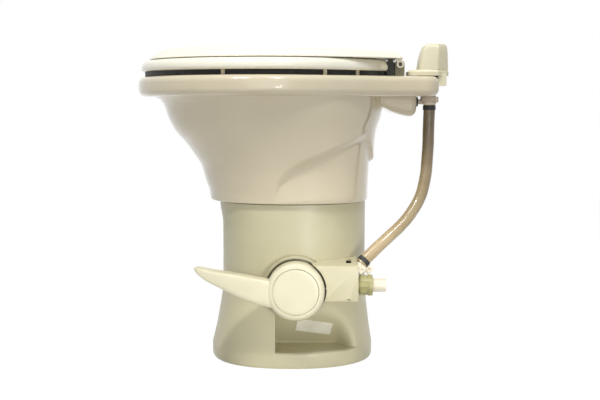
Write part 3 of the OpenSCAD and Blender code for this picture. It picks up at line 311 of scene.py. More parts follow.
# Noise as (scale, detail), then for wear how far roughness goes down and up,
# and for bump the depth in mm and the strength; coat as (weight, roughness)
ivoryNoise = {"rough": 0.36, "tint": (14, 4), "wear": (40, 3, 0.06, 0.05),
              "bump": (1600, 2, 0.04, 0.3)}
plainNoise = {"tint": (30, 4), "wear": (60, 3, 0.05, 0.07), "bump": (900, 2, 0.05, 0.3)}
finishSet = {
    "china": {"name": "chinaGlaze", "low": "#D1C5A8", "high": "#D8CDB1", "rough": 0.13,
              "coat": (0.6, 0.05), "tint": (6, 2), "bump": (22, 2, 0.5, 0.25)},
    "shell": {"name": "mouldedShell", "low": "#BFB999", "high": "#C7C1A1", "rough": 0.38,
              "tint": (9, 4), "wear": (30, 3, 0.06, 0.06), "bump": (1400, 2, 0.05, 0.35)},
    "ivory": {"name": "ivoryPlastic", "low": "#DAD4B6", "high": "#E1DBBE", **ivoryNoise},
    # cover is the ivory plastic made darker, as painted shade on the valve cover
    "cover": {"name": "coverShadedIvory", "low": "#C6BF9E", "high": "#CEC8A7", **ivoryNoise},
    "enamel": {"name": "seatEnamel", "low": "#EFEAD6", "high": "#F5F1DF", "rough": 0.2,
               "coat": (0.5, 0.08), "tint": (5, 3), "tintStretch": (1, 0.35, 1),
               "bump": (60, 3, 0.15, 0.2), "bumpStretch": (1, 0.2, 1)},
    "rubber": {"name": "blackRubber", "low": "#1F1F1D", "high": "#30302D", "base": "#262624",
               "rough": 0.62, "tint": (80, 4), "bump": (1200, 3, 0.08, 0.4)},
    "label": {"name": "blankPaper", "low": "#E0DCC8", "high": "#EEEBDC", "base": "#E9E6D6",
              "rough": 0.6, "tint": (45, 4), "bump": (900, 3, 0.03, 0.3)},
}
plainSet = {
    "black": ("blackPlastic", "#1C1C1A", "#2A2A27", 0.4),
    # collar and post are darker copies that carry painted shade, for the collar behind the pedal
    # and the hinge posts
    "collar": ("collarPlastic", "#ADA788", "#B7B192", 0.42),
    "post": ("postPlastic", "#77725C", "#8A856D", 0.45),
    "green": ("nutPlastic", "#9F9A68", "#AFA977", 0.35),
    "white": ("whitePlastic", "#E3DAC2", "#ECE4CE", 0.38),
    "fitting": ("fittingPlastic", "#C2B3A2", "#D1C3B1", 0.45),
}
for plainKey, plain in plainSet.items():
    finishSet[plainKey] = dict(zip(("name", "low", "high", "rough"), plain), **plainNoise)


def makeFinish(s):
    coat, coatRough = s.get("coat", (0, 0.1))
    material, tree, shader = newMaterial(s["name"], linear(s.get("base", s["high"])), s["rough"],
                                         {"Coat Weight": coat, "Coat Roughness": coatRough})
    tint = noiseNode(tree, *s["tint"], s.get("tintStretch", even))
    varyColor(tree, shader, tint, linear(s["low"]), linear(s["high"]))
    if "wear" in s:
        scale, detail, down, up = s["wear"]
        varyRough(tree, shader, noiseNode(tree, scale, detail), s["rough"] - down, s["rough"] + up)
    scale, detail, depth, strength = s["bump"]
    grain = noiseNode(tree, scale, detail, s.get("bumpStretch", even))
    addBump(tree, shader, grain, depth, strength)
    return material


steelSet = {"rough": 0.3, "wear": (0.22, 0.42), "grain": (220, 3, (1, 14, 14)),
            "bump": (0.03, 0.4)}


def brushedSteel(name, tone):
    s = steelSet
    material, tree, shader = newMaterial(name, linear(tone), s["rough"], {"Metallic": 1.0})
    grain = noiseNode(tree, *s["grain"])
    varyRough(tree, shader, grain, *s["wear"])
    addBump(tree, shader, grain, *s["bump"])
    return material


vinylSet = {
    "base": "#C9B288", "rough": 0.2, "lower": ("#BBA67E", "#CDB890"),
    # the upper tones are painted shade, darker towards the breaker
    "shadedUpper": ("#75654A", "#8B7A5D"), "tint": (18, 3), "from": 0.2, "to": 0.345,
    "grain": (120, 2), "bump": (0.12, 0.25),
    "inputs": {"Coat Weight": 0.3, "Coat Roughness": 0.08, "Transmission Weight": 0.15,
               "IOR": 1.45},
}


# Clear tan tube, with painted shade that turns it browner and darker towards the breaker
def vinylWithPaintedShade():
    s = vinylSet
    material, tree, shader = newMaterial("vinylWithPaintedShade", linear(s["base"]), s["rough"], s["inputs"])
    # the colour sockets of a mix node share their names with others
    colorInputs, colorOutput = (6, 7), 2
    coord = addNode(tree, "TexCoord", {})
    split = addNode(tree, "SeparateXYZ", {"Vector": coord.outputs["Object"]})
    span = addNode(tree, "MapRange", {"Value": split.outputs["Z"], "From Min": s["from"],
                                      "From Max": s["to"]})
    blend = tree.nodes.new("ShaderNodeMix")
    blend.data_type = "RGBA"
    wire(tree, blend, {"Factor": span.outputs["Result"]})
    for tones, socket in zip((s["lower"], s["shadedUpper"]), colorInputs):
        ramp = varyColor(tree, shader, noiseNode(tree, *s["tint"]), *map(linear, tones))
        wire(tree, blend, {socket: ramp.outputs["Color"]})
    wire(tree, shader, {"Base Color": blend.outputs[colorOutput]})
    addBump(tree, shader, noiseNode(tree, *s["grain"]), *s["bump"])
    return material


finish = {key: makeFinish(s) for key, s in finishSet.items()}
finish["steel"] = brushedSteel("brushedSteel", "#A9A9A6")
finish["pin"] = brushedSteel("darkPin", "#4A4842")
finish["vinyl"] = vinylWithPaintedShade()
print("materials made")

# Hose: its middle line runs from the breaker down to the valve's barb
hoseSet = {
    "radius": 9.25, "steps": 3, "count": 32,
    "route": [
        (40, 217.5, 404), (40, 217.5, 394), (40, 217, 380), (40.5, 216.5, 360), (42.5, 216, 341),
        (47.5, 214, 318), (53.5, 212, 299), (60, 208.5, 283), (66, 204, 267), (71, 197.5, 253),
        (77, 189, 240), (83, 179.5, 228), (90, 168, 216.5), (97, 155.5, 206), (104, 143.5, 196),
        (110, 132, 186.5), (115, 121.5, 177), (118.9, 112.9, 169.2), (121.6, 106.4, 162.9)],
}


def smoothRoute(points, steps):
    out = []
    for i in range(len(points) - 1):
        p0, p1 = points[max(i - 1, 0)], points[i]
        p2, p3 = points[i + 1], points[min(i + 2, len(points) - 1)]
        for k in range(steps):
            t = k / steps
            out.append(tuple(
                0.5 * (2 * b + (c - a) * t + (2 * a - 5 * b + 4 * c - d) * t * t
                       + (3 * b - a - 3 * c + d) * t**3)
                for a, b, c, d in zip(p0, p1, p2, p3)))
    return out + [points[-1]]


# Rings across a route; the first sideways direction is one that the route doesn't follow
def tubeRings(points, radius, count):
    first = (Vector(points[1]) - Vector(points[0])).normalized()
    side = Vector((0, 0, 1)) if abs(first.x) > 0.9 else Vector((1, 0, 0))
    rings = []
    for i, p in enumerate(points):
        ahead = Vector(points[min(i + 1, len(points) - 1)]) - Vector(points[max(i - 1, 0)])
        ahead.normalize()
        side = (side - ahead * side.dot(ahead)).normalized()
        up = ahead.cross(side)
        rings.append([tuple(Vector(p) + radius * (math.cos(a) * side + math.sin(a) * up))
                      for a in fullTurn(count)])
    return rings


rodCount = 40


def rodCutter(start, end, r):
    return addLoft("rodCutter", tubeRings([start, end], r, rodCount))


def makeHose():
    s = hoseSet
    route = smoothRoute(s["route"], s["steps"])
    hose = addLoft("waterHose", tubeRings(route, s["radius"], s["count"]), finish["vinyl"],
                   sharpDeg=60)
    place(hose, "root", "vinyl", "supply_hose")


makeHose()

# Bowl: the flared wall above the crease and the plain skirt below it are two outlines that the
# wall passes between. Reaches are to front, back and side; flare gives their shares by height.
bowlSet = {
    "skirtZ": 253, "neckZ": 419, "rimLow": 417, "rimTop": 448, "china": 9, "count": 192,
    "skirt": (132, 122.1, 122), "neck": (225, 148, 173), "overhang": 8,
    "skirtMid": -3, "rimMid": -45, "creaseH": 108, "columnFlare": 4,
    "roundFront": 2.1, "roundSkirt": 2.6, "roundNeck": 2.2, "bunch": 10,
    "flare": [
        (0, 0, 0, 0), (0.08, 0.02, 0.02, 0.03), (0.2, 0.09, 0.05, 0.11), (0.32, 0.15, 0.08, 0.2),
        (0.44, 0.28, 0.12, 0.33), (0.56, 0.44, 0.18, 0.47), (0.67, 0.61, 0.32, 0.6),
        (0.79, 0.72, 0.7, 0.74), (0.91, 0.79, 0.93, 0.87), (0.97, 0.88, 0.98, 0.95),
        (1, 1, 1, 1)],
    "crease": [(-26, 0.03), (-23, 0.08), (-13, 0.3), (4, 0.46), (28, 0.6), (51, 0.7),
               (80, 0.84), (110, 1)],
    "creaseBlend": 14, "creaseRear": 0.6, "rearY": 90, "rearX": (20, 60),
    "insideWall": (0.95, 0.7, 0.45, 0.2, 0.06), "insideSkirt": (0.7, 0.3, 0),
    "edge": ((0, 2.2), (0.5, 0.8), (1.6, 0.1)),
    "panel": (0.12, 0.24, 0.36, 0.48, 0.6, 0.7, 0.78, 0.84, 0.88, 0.91), "panelLow": 1.8,
    "lip": ((0.94, 0.3), (0.97, 0.62), (0.99, 0.85)), "lipLow": 2.6,
    "wallRings": 32, "wallFrom": 0.02, "wallBunch": 1.25,
}


def upperPoint(a, z, inset):
    s = bowlSet
    t = min(1, max(0, (z - s["skirtZ"]) / (s["neckZ"] - s["skirtZ"])))
    low = (s["skirt"][0], s["skirt"][1] + s["overhang"], s["skirt"][2])
    front, back, width = (mix(low[k], s["neck"][k], curveAt(t, s["flare"], k + 1)) - inset
                          for k in range(3))
    return onOutline(a, z, front, back, width, mix(s["skirtMid"], s["rimMid"], t),
                     s["roundFront"], mix(s["roundSkirt"], s["roundNeck"], t))


def lowerPoint(a, z, inset):
    s = bowlSet
    grow = s["columnFlare"] * ease(z, s["skirtZ"], s["creaseH"]) - inset
    front, back, width = (reach + grow for reach in s["skirt"])
    return onOutline(a, z, front, back, width, s["skirtMid"], s["roundFront"], s["roundSkirt"])


# Height of the crease over the skirt's edge; it dips in the middle of the rear
def creaseOver(a):
    s = bowlSet
    x, y, _ = lowerPoint(a, s["skirtZ"], 0)
    share = curveAt(y, s["crease"])
    if y >= s["rearY"]:
        share *= mix(s["creaseRear"], 1, ease(abs(x), *s["rearX"]))
    return s["creaseH"] * share


def bowlPoint(a, z, inset):
    s = bowlSet
    y = lowerPoint(a, s["skirtZ"], 0)[1]
    t = ease(y, s["crease"][0][0], s["creaseBlend"])
    return mixPoint(upperPoint(a, z, inset), lowerPoint(a, z, inset), t)


# Angles bunched where the outline turns fastest across the pedal side
def outlineAngles(count):
    angles = [360 * i / count for i in range(count)]
    return [a - bowlSet["bunch"] * math.sin(math.radians(2 * a)) for a in angles]


def makeBowlBody():
    s = bowlSet
    skirtZ, china = s["skirtZ"], s["china"]
    angles = outlineAngles(s["count"])

    def wallRing(t, inset):
        return [upperPoint(a, mix(skirtZ + creaseOver(a), s["neckZ"], t), inset) for a in angles]

    # inside of the wall, from the neck down to the skirt
    rings = [wallRing(t, china) for t in s["insideWall"]]
    for t in s["insideSkirt"]:
        rings.append([bowlPoint(a, skirtZ + t * creaseOver(a), china) for a in angles])
    # rounded lower edge of the skirt
    for dz, inset in s["edge"]:
        rings.append([bowlPoint(a, skirtZ + dz, inset) for a in angles])
    for t in s["panel"]:
        rings.append([bowlPoint(a, skirtZ + max(s["panelLow"] + t, t * creaseOver(a)), 0)
                      for a in angles])
    # rolled lip of the crease
    for t, share in s["lip"]:
        levels = [skirtZ + max(s["lipLow"] + t, t * creaseOver(a)) for a in angles]
        rings.append([mixPoint(bowlPoint(a, z, 0), upperPoint(a, z, 0), share)
                      for a, z in zip(angles, levels)])
    for k in range(s["wallRings"] + 1):
        share = (k / s["wallRings"]) ** s["wallBunch"]
        rings.append(wallRing(mix(s["wallFrom"], 1, share), 0))
    body = addLoft("bowlBody", rings, finish["china"], sharpDeg=60, closed=True)
    place(body, "root", "china", "bowl")


# Plan shared by rim, seat and lid: half ellipse, curved sides, round rear corners. Its form is
# front, half width, the side curve's reach and spread, rear, rear half width, corner radius.
planSet = {"arc": 48, "side": 36, "corner": 10, "rear": 6, "sideY": 100, "sharpest": 2}


def planRing(z, inset, form):
    s = planSet
    mid = bowlSet["rimMid"]
    front, halfW, reach, spread, back, backW, cornerR = form
    w, bw, r = halfW - inset, backW - inset, max(s["sharpest"], cornerR - inset)
    right = []
    for i in range(s["arc"] + 1):
        a = math.radians(-90 + 90 * i / s["arc"])
        right.append((w * math.cos(a), mid + (front + mid - inset) * math.sin(a)))
    side = [(w, mid), (w, mid + reach), (bw + spread, s["sideY"]), (bw, back - inset - r)]
    for i in range(1, s["side"] + 1):
        t = i / s["side"]
        k = ((1 - t) ** 3, 3 * t * (1 - t) ** 2, 3 * t * t * (1 - t), t**3)
        right.append(tuple(sum(c * p[j] for c, p in zip(k, side)) for j in (0, 1)))
    for i in range(1, s["corner"] + 1):
        a = math.radians(90 * i / s["corner"])
        right.append((bw - r + r * math.cos(a), back - inset - r + r * math.sin(a)))
    for i in range(1, s["rear"] + 1):
        right.append((mix(bw - r, 0, i / s["rear"]), back - inset))
    left = [(-x, y) for x, y in reversed(right[1:-1])]
    return [(x, y, z) for x, y in right + left]


basinSet = {
    "low": 194.4, "throat": 36, "hubY": 6.5, "front": 196, "back": 82, "half": 126, "midY": -55,
    "rounds": (2.05, 2.2),
    "curve": [(0, 0), (0.12, 0.1), (0.3, 0.36), (0.5, 0.62), (0.7, 0.83), (0.88, 0.96), (1, 1)],
}


# Point of the basin at a share of its height, or at z, grown outwards
def basinPoint(x, y, t, grow, z=None):
    s = basinSet
    share = curveAt(t, s["curve"])
    front = mix(s["throat"] - s["hubY"], s["front"], share) + grow
    back = mix(s["throat"] + s["hubY"], s["back"], share) + grow
    half = mix(s["throat"], s["half"], share) + grow
    mid = mix(s["hubY"], s["midY"], share)
    level = mix(s["low"], bowlSet["rimTop"], t) if z is None else z
    return alongRay(x, y, level, front, back, half, mid, *s["rounds"])


rimSet = {
    "form": (246, 190, 95, 14, 228, 98, 24),
    "flange": ((36, 194.4), (62, 194.4), (62, 203.4), (50, 203.4)),
    "outside": (0.06, 0.12, 0.3, 0.5, 0.7), "under": (0.86, 14, 1.5), "underIn": 14,
    "low": 11, "high": 10, "edgeSteps": 7, "top": (0.3, 0.6), "topIn": 9,
    "lip": 8, "lipSteps": 5, "lipFall": 0.03, "basinRings": 25, "basinTop": 0.965,
}


def makeRim():
    s = rimSet
    low, high, lip, form = s["low"], s["high"], s["lip"], s["form"]
    rimLow, rimTop = bowlSet["rimLow"], bowlSet["rimTop"]
    headings = [(x, y - basinSet["midY"]) for x, y, _ in planRing(0, 0, form)]

    def circle(r, z):
        return [(r * x / math.hypot(x, y), basinSet["hubY"] + r * y / math.hypot(x, y), z)
                for x, y in headings]

    # outside of the basin, throat flange first
    rings = [circle(r, z) for r, z in s["flange"]]
    for t in s["outside"]:
        rings.append([basinPoint(x, y, t, bowlSet["china"]) for x, y in headings])
    t, grow, lift = s["under"]
    rings.append([basinPoint(x, y, t, grow, rimLow + lift) for x, y in headings])
    # rolled edge: underside, side, top
    rings.append(planRing(rimLow, low + s["underIn"], form))
    for left, off in roundSteps(s["edgeSteps"]):
        rings.append(planRing(rimLow + low * left, low * off, form))
    for left, off in roundSteps(s["edgeSteps"]):
        rings.append(planRing(rimTop - high * off, high * left, form))
    # flat top, then the rounded lip into the basin
    outer = planRing(rimTop, high, form)
    for share in s["top"]:
        rings.append([mixPoint(p, basinPoint(x, y, 1, s["topIn"], rimTop), share)
                      for p, (x, y) in zip(outer, headings)])
    for left, off in roundSteps(s["lipSteps"]):
        rings.append([basinPoint(x, y, 1 - s["lipFall"] * left, lip * off, rimTop - lip * left)
                      for x, y in headings])
    count = s["basinRings"]
    for k in range(1, count):
        rings.append([basinPoint(x, y, (1 - k / count) * s["basinTop"], 0) for x, y in headings])
    rim = addLoft("rimAndDeck", rings, finish["china"], sharpDeg=50, closed=True)
    cutWith(rim, [breakerNotch()], sharpDeg=35)
    place(rim, "root", "china", "bowl")


notchSet = {"r": 11, "steps": 16, "rear": 240, "ends": (410, 455)}


# Opening in the deck's rear edge that takes the breaker's shank
def breakerNotch():
    s = notchSet
    cx, cy = breakerCentre
    angles = [math.pi + math.pi * i / s["steps"] for i in range(s["steps"] + 1)]
    outline = [(cx + s["r"] * math.cos(a), cy + s["r"] * math.sin(a)) for a in angles]
    outline += [(cx + s["r"], s["rear"]), (cx - s["r"], s["rear"])]
    return prism("notchCutter", outline, "z", s["ends"])


# Shelf under the deck: its underside as (y, z)
shelfSet = {
    "half": 57, "high": 425, "count": 48, "round": 7, "endIn": 6, "endLength": 7,
    "under": [(118, 407), (134, 402.5), (146, 398.6), (153, 395), (160, 391.8), (172, 388),
              (180, 386.3), (186, 385.4), (189.5, 386), (192.5, 387.8), (194.8, 391),
              (196, 395.5)],
}


def makeShelf():
    s = shelfSet
    endFrom = s["under"][-1][0] - s["endLength"]
    rings = []
    for y, z in s["under"]:
        half = s["half"] - s["endIn"] * max(0, (y - endFrom) / s["endLength"]) ** 2
        outline = boxOutline((-half, z), (half, s["high"]), (s["round"], s["round"]), s["count"])
        rings.append([across("y", u, v, y) for u, v in outline])
    shelf = addLoft("deckShelf", rings, finish["china"], sharpDeg=60)
    place(shelf, "root", "china", "bowl")


makeBowlBody()
makeRim()
makeShelf()
print("bowl done")

# Pedestal: waist gives its reaches to front, back and side, and curve the share of the foot's
# by height; the side recess has a ledge with a lip, and a wall that fades out to the rear
pedestalSet = {
    "waist": (112, 118.5, 116), "crown": (215, 35, 4.5), "foot": (130, 130, 126),
    "flareH": 112, "shell": 4, "round": 2.3,
    "curve": [(0, 0.9), (0.02, 0.97), (0.06, 1), (0.16, 1), (0.29, 0.82), (0.46, 0.58),
              (0.64, 0.38), (0.82, 0.18), (1, 0.04), (1.35, 0)],
    "ledge": 25, "lip": 5, "recessFront": -25, "fade": (66, 108), "fold": 14, "wallIn": 50,
    "wallLean": 0.985,
    "footLevels": (0, 1, 3, 6, 10, 14, 18), "lipSteps": 4, "lipRise": 0.7,
    "ledgeSteps": 5, "ledgeFrom": 1, "ledgeRise": 0.35,
    "wallLevels": (26, 27.5, 30, 35, 40, 45, 50, 55, 60, 65, 69, 73, 76, 79, 82, 85, 88, 91, 94,
                   97, 100, 104, 108),
    "highLevels": (114, 120, 128, 140, 165, 195, 215, 222, 230, 238, 246, 251.5),
    "frontSteps": 24, "sideSteps": 16, "fadeSteps": 14, "backSteps": 16, "frontNear": 0.3,
}


# Outline of the shell at a height: reaches to front, back and side
def shellReach(z, inset):
    s = pedestalSet
    share = curveAt(z / s["flareH"], s["curve"])
    front, back, half = s["waist"]
    crownFrom, over, more = s["crown"]
    front += more * ease(z, crownFrom, over)
    return tuple(mix(waist, foot, share) - inset
                 for waist, foot in zip((front, back, half), s["foot"]))


def shellSide(y, z, inset):
    front, back, half = shellReach(z, inset)
    n = pedestalSet["round"]
    return half * max(0, 1 - abs(y / (front if y < 0 else back)) ** n) ** (1 / n)


def softMin(a, b, k):
    h = min(1, max(0, 0.5 + 0.5 * (b - a) / k))
    return mix(b, a, h) - k * h * (1 - h)


# Cross-section of the side recess: lip, ledge and wall, as (reach, height)
def recessPoint(kind, value, y, inset):
    s = pedestalSet
    lip, ledge = s["lip"], s["ledge"]
    edge = shellSide(y, ledge - lip, inset)
    if kind == "lip":
        return edge - lip * (1 - math.cos(value)), ledge - inset - lip * (1 - math.sin(value))
    wall = s["wallIn"] - inset
    if kind == "ledge":
        return mix(edge - lip, min(edge - lip, wall + 1), value), ledge - inset
    wall += (value - ledge) * s["wallLean"]
    return softMin(shellSide(y, value, inset), wall, s["fold"]), value


# Every ring of the shell as (height, part of the recess, place in that part)
def shellLevels():
    s = pedestalSet
    ledge, lip = s["ledge"], s["lip"]
    levels = [(z, None, 0) for z in (*s["footLevels"], ledge - lip)]
    for k in range(1, s["lipSteps"] + 1):
        turn = math.radians(90 / s["lipSteps"] * k)
        levels.append((ledge - lip + s["lipRise"] * k, "lip", turn))
    for k in range(1, s["ledgeSteps"] + 1):
        z = ledge - s["ledgeFrom"] + s["ledgeRise"] * k
        levels.append((z, "ledge", k / s["ledgeSteps"]))
    levels += [(z, "wall", z) for z in s["wallLevels"]]
    return levels + [(z, None, 0) for z in s["highLevels"]]


def shellRing(level, inset):
    s = pedestalSet
    z, kind, value = level
    front, back, half = shellReach(z, inset)
    n, start, (full, none) = s["round"], s["recessFront"], s["fade"]

    def arc(low, high, count):
        return [onOutline(mix(low, high, i / count), z, front, back, half, 0, n, n)
                for i in range(count + 1)]

    turnFront = math.degrees(math.asin(((s["frontNear"] - start) / front) ** (n / 2)))
    turnBack = math.degrees(math.asin((none / back) ** (n / 2)))
    right = arc(-90, -turnFront, s["frontSteps"])
    sideY = [mix(start, full, i / s["sideSteps"]) for i in range(s["sideSteps"] + 1)]
    sideY += [mix(full, none, i / s["fadeSteps"]) for i in range(1, s["fadeSteps"])]
    for y in sideY:
        point = (shellSide(y, z, inset), z)
        if kind:
            share = 1 - ease(y, full, none - full)
            point = mixPoint(point, recessPoint(kind, value, y, inset), share)
        right.append((point[0], y, point[1]))
    right += arc(turnBack, 90, s["backSteps"])
    return right + [(-x, y, zNow) for x, y, zNow in reversed(right[1:-1])]


# Inside the shell: ball housing with its clamped flange, waste outlet with the seal's groove,
# pad behind the pedal's collar and the two bosses for the floor bolts
insideSet = {
    "ball": 77, "wall": 4, "neck": (42, 62), "neckTop": 65, "outlet": 38, "ballSteps": 20,
    "outletIn": 2, "outletOut": 9.5, "outletOver": 10.5,
    "outletFlange": [(47, 0), (47, 5), (56, 5), (56, 0), (64, 0), (64, 8), (47.5, 8)],
    "pad": [(15, 88), (50.5, 88), (50.5, 118), (15, 118)],
    "boltX": 76.2, "boltR": 4.6, "bossR": 14, "bossTop": 22, "boltCut": (15, 40),
    "holeCount": 32, "bossCount": 40,
}


# Sphere and cylinder wall of the ball housing, from the outlet up to the clamped flange
def housingProfile(ball, neck, lowR):
    s = insideSet
    first = math.degrees(math.acos(lowR / ball))
    last = math.degrees(math.acos(neck / ball))
    turns = [math.radians(mix(-first, last, k / s["ballSteps"])) for k in range(s["ballSteps"] + 1)]
    return [(ball * math.cos(a), ball * math.sin(a)) for a in turns] + [(neck, s["neckTop"])]


# Closed ring from its cross-section, part of the pedestal
def makeRound(name, section, centre, axis, count=96):
    ring = turned(name, section, centre, axis, finish["shell"], count, closed=True)
    place(ring, "root", "shell", "pedestal")


def makePedestal():
    s = insideSet
    levels = shellLevels()
    rings = [shellRing(level, 0) for level in levels]
    rings += [shellRing(level, pedestalSet["shell"]) for level in reversed(levels)]
    shell = addLoft("pedestalShell", rings, finish["shell"], sharpDeg=45, closed=True)
    boltX, boltR, bossR, bossTop = s["boltX"], s["boltR"], s["bossR"], s["bossTop"]
    hole = [(boltR, h) for h in s["boltCut"]]
    cutWith(shell, [turned("boltHole", hole, (x, 0, 0), "z", None, s["holeCount"])
                    for x in (boltX, -boltX)], sharpDeg=45)
    place(shell, "root", "shell", "pedestal")
    ball, outlet, (neckIn, neckOut) = s["ball"], s["outlet"], s["neck"]
    outer = housingProfile(ball + s["wall"], neckOut, outlet + s["outletOut"])
    inner = housingProfile(ball, neckIn, outlet + s["outletIn"])
    makeRound("ballHousing", outer + inner[::-1], hubCentre, "z")
    low = hubCentre[2] - ball + s["outletOver"]
    flange = s["outletFlange"]
    makeRound("wasteOutlet", [(outlet, 0), *flange, (flange[-1][0], low), (outlet, low)],
              (0, 0, 0), "z")
    makeRound("collarPad", s["pad"], (0, *hubCentre[1:]), "x")
    boss = [(boltR, 0), (bossR, 0), (bossR, bossTop), (boltR, bossTop)]
    makeRound("boltBossNear", boss, (boltX, 0, 0), "z", s["bossCount"])
    makeRound("boltBossFar", boss, (-boltX, 0, 0), "z", s["bossCount"])


makePedestal()

# Blank label on the recess wall
labelSet = {"centre": (35, 56.5), "size": (55.5, 23.5), "tilt": 9.5, "lifts": (0.1, 0.5),
            "steps": 12, "inner": 0.5}


def onWall(y, z, lift):
    return recessPoint("wall", z, y, 0)[0] + lift, y, z


def makeLabel():
    s = labelSet
    (midY, midZ), (w, h), tilt = s["centre"], s["size"], math.radians(s["tilt"])
    corners = [(-1, -1), (1, -1), (1, 1), (-1, 1)]
    outline = []
    for k, corner in enumerate(corners):
        for i in range(s["steps"]):
            u, v = mixPoint(corner, corners[(k + 1) % 4], i / s["steps"])
            u, v = u * w / 2, v * h / 2
            outline.append((midY + u * math.cos(tilt) + v * math.sin(tilt),
                            midZ - u * math.sin(tilt) + v * math.cos(tilt)))
    rings = [[onWall(y, z, lift) for y, z in outline] for lift in s["lifts"]]
    inner = [[mixPoint(onWall(midY, midZ, lift), q, s["inner"]) for q in ring]
             for lift, ring in zip(s["lifts"], rings)]
    label = addLoft("blankLabel", [inner[0], *rings, inner[1]], finish["label"])
    place(label, "root", "label", "label_plate")


makeLabel()
print("pedestal done")

# Seat: hole is its front, back, half width and middle; lips are (height, growth) pairs
seatSet = {
    "low": 456, "top": 473.8, "form": (241, 183, 85, 46, 153, 84, 15),
    "hole": (186, 60, 104, -62), "holeRounds": (2.1, 2.3), "under": 4.5, "underSteps": 5,
    "shoulder": (14, 12), "shoulderSteps": 10, "topAt": (0.35, 0.7), "topIn": 18, "topFall": 0.6,
    "upperLip": ((0.7, 17), (1.8, 11), (4, 6.5), (7, 3.2)),
    "lowerLip": ((6, 0.8), (3, 0), (1, 0.8), (0, 3)),
}


def seatHole(x, y, z, grow):
    front, back, half, mid = seatSet["hole"]
    return alongRay(x, y - mid, z, front + grow, back + grow, half + grow, mid,
                    *seatSet["holeRounds"])


def makeSeat():
    s = seatSet
    low, top, form, under, (wide, deep) = s["low"], s["top"], s["form"], s["under"], s["shoulder"]
    base = planRing(0, 0, form)
    rings = [planRing(low + under * left, under * off, form)
             for left, off in roundSteps(s["underSteps"])]
    rings += [planRing(top - deep * off, wide * left, form)
              for left, off in roundSteps(s["shoulderSteps"])]
    for share in s["topAt"]:
        z = top - s["topFall"] * share
        rings.append([mixPoint(p, seatHole(x, y, z, s["topIn"]), share)
                      for p, (x, y, _) in zip(planRing(top, wide, form), base)])
    lips = [(top - dz, grow) for dz, grow in s["upperLip"]]
    lips += [(low + dz, grow) for dz, grow in s["lowerLip"]]
    for z, grow in lips:
        rings.append([seatHole(x, y, z, grow) for x, y, _ in base])
    seat = addLoft("seatRing", rings, finish["enamel"], sharpDeg=60, closed=True)
    place(seat, "seat", "enamel", "seat")


# Painted shade in the seat's gaps: a black rubber rib under the seat, nearer the edge in front, and
# a black pad behind the seat
seatShadeSet = {
    "rib": (448.7, 457.5), "thick": 3, "inset": (5.5, 19), "inFrom": (-215, 90),
    "outFrom": (106, 22), "padHalf": 80, "padLow": (146, 449), "padHigh": (158.5, 471),
    "padRounds": (5, 5), "padCount": 24,
}


# The rib is painted shade that darkens the gap under the seat
def makeSeatShadeRib():
    s = seatShadeSet
    low, high = s["rib"]
    outer, inner = (planRing(0, inset, seatSet["form"]) for inset in s["inset"])
    plan = [mixPoint(p, q, ease(p[1], *s["inFrom"]) * (1 - ease(p[1], *s["outFrom"])))
            for p, q in zip(outer, inner)]
    innerPlan = []
    for i, p in enumerate(plan):
        ahead = Vector(plan[(i + 1) % len(plan)]) - Vector(plan[i - 1])
        side = Vector((-ahead.y, ahead.x, 0)).normalized() * s["thick"]
        innerPlan.append((p[0] + side.x, p[1] + side.y, 0))
    rings = [[(x, y, z) for x, y, _ in ring]
             for ring, z in ((plan, low), (plan, high), (innerPlan, high), (innerPlan, low))]
    rib = addLoft("seatShadeRib", rings, finish["rubber"], closed=True)
    place(rib, "seat", "rubber")


# The pad is painted shade of the gap between the seat and the hinge posts
def makeSeatShadePad():
    s = seatShadeSet
    outline = boxOutline(s["padLow"], s["padHigh"], s["padRounds"], s["padCount"])
    places = [mix(-s["padHalf"], s["padHalf"], k / s["padCount"]) for k in range(s["padCount"] + 1)]
    pad = prism("seatRearShadePad", outline, "x", places, finish["rubber"])
    place(pad, "seat", "rubber")


# Lid: edge as (inset, height), crown as (share of the way out, height)
lidSet = {
    "low": 474.8, "form": (228.5, 170.5, 85, 36, 172, 90, 10), "underIn": 12,
    "edge": [(1.6, 0), (0.5, 0.25), (0, 1.0), (0.5, 1.9), (1.8, 2.8), (4, 5), (6.8, 7.3),
             (10, 9.8), (13.5, 12.2), (17.5, 14.4), (22, 16.3)],
    "crown": [(0, 24), (0.1, 24), (0.28, 23.9), (0.536, 23.2), (0.735, 21.4), (0.907, 18),
              (1, 16.3)],
    "crownY": -35, "crownRings": 14, "crownSteps": 14.5,
}


def makeLid():
    s = lidSet
    low, form, mid = s["low"], s["form"], s["crownY"]
    rings = [planRing(low, s["underIn"], form)]
    rings += [planRing(low + h, inset, form) for inset, h in s["edge"]]
    last = planRing(0, s["edge"][-1][0], form)
    for k in range(1, s["crownRings"] + 1):
        share = 1 - k / s["crownSteps"]
        z = low + curveAt(share, s["crown"])
        rings.append([(x * share, mid + (y - mid) * share, z) for x, y, _ in last])
    lid = addLoft("lidShell", rings, finish["enamel"], sharpDeg=60)
    place(lid, "lid", "enamel", "lid")


makeSeat()
makeSeatShadeRib()
makeSeatShadePad()
makeLid()

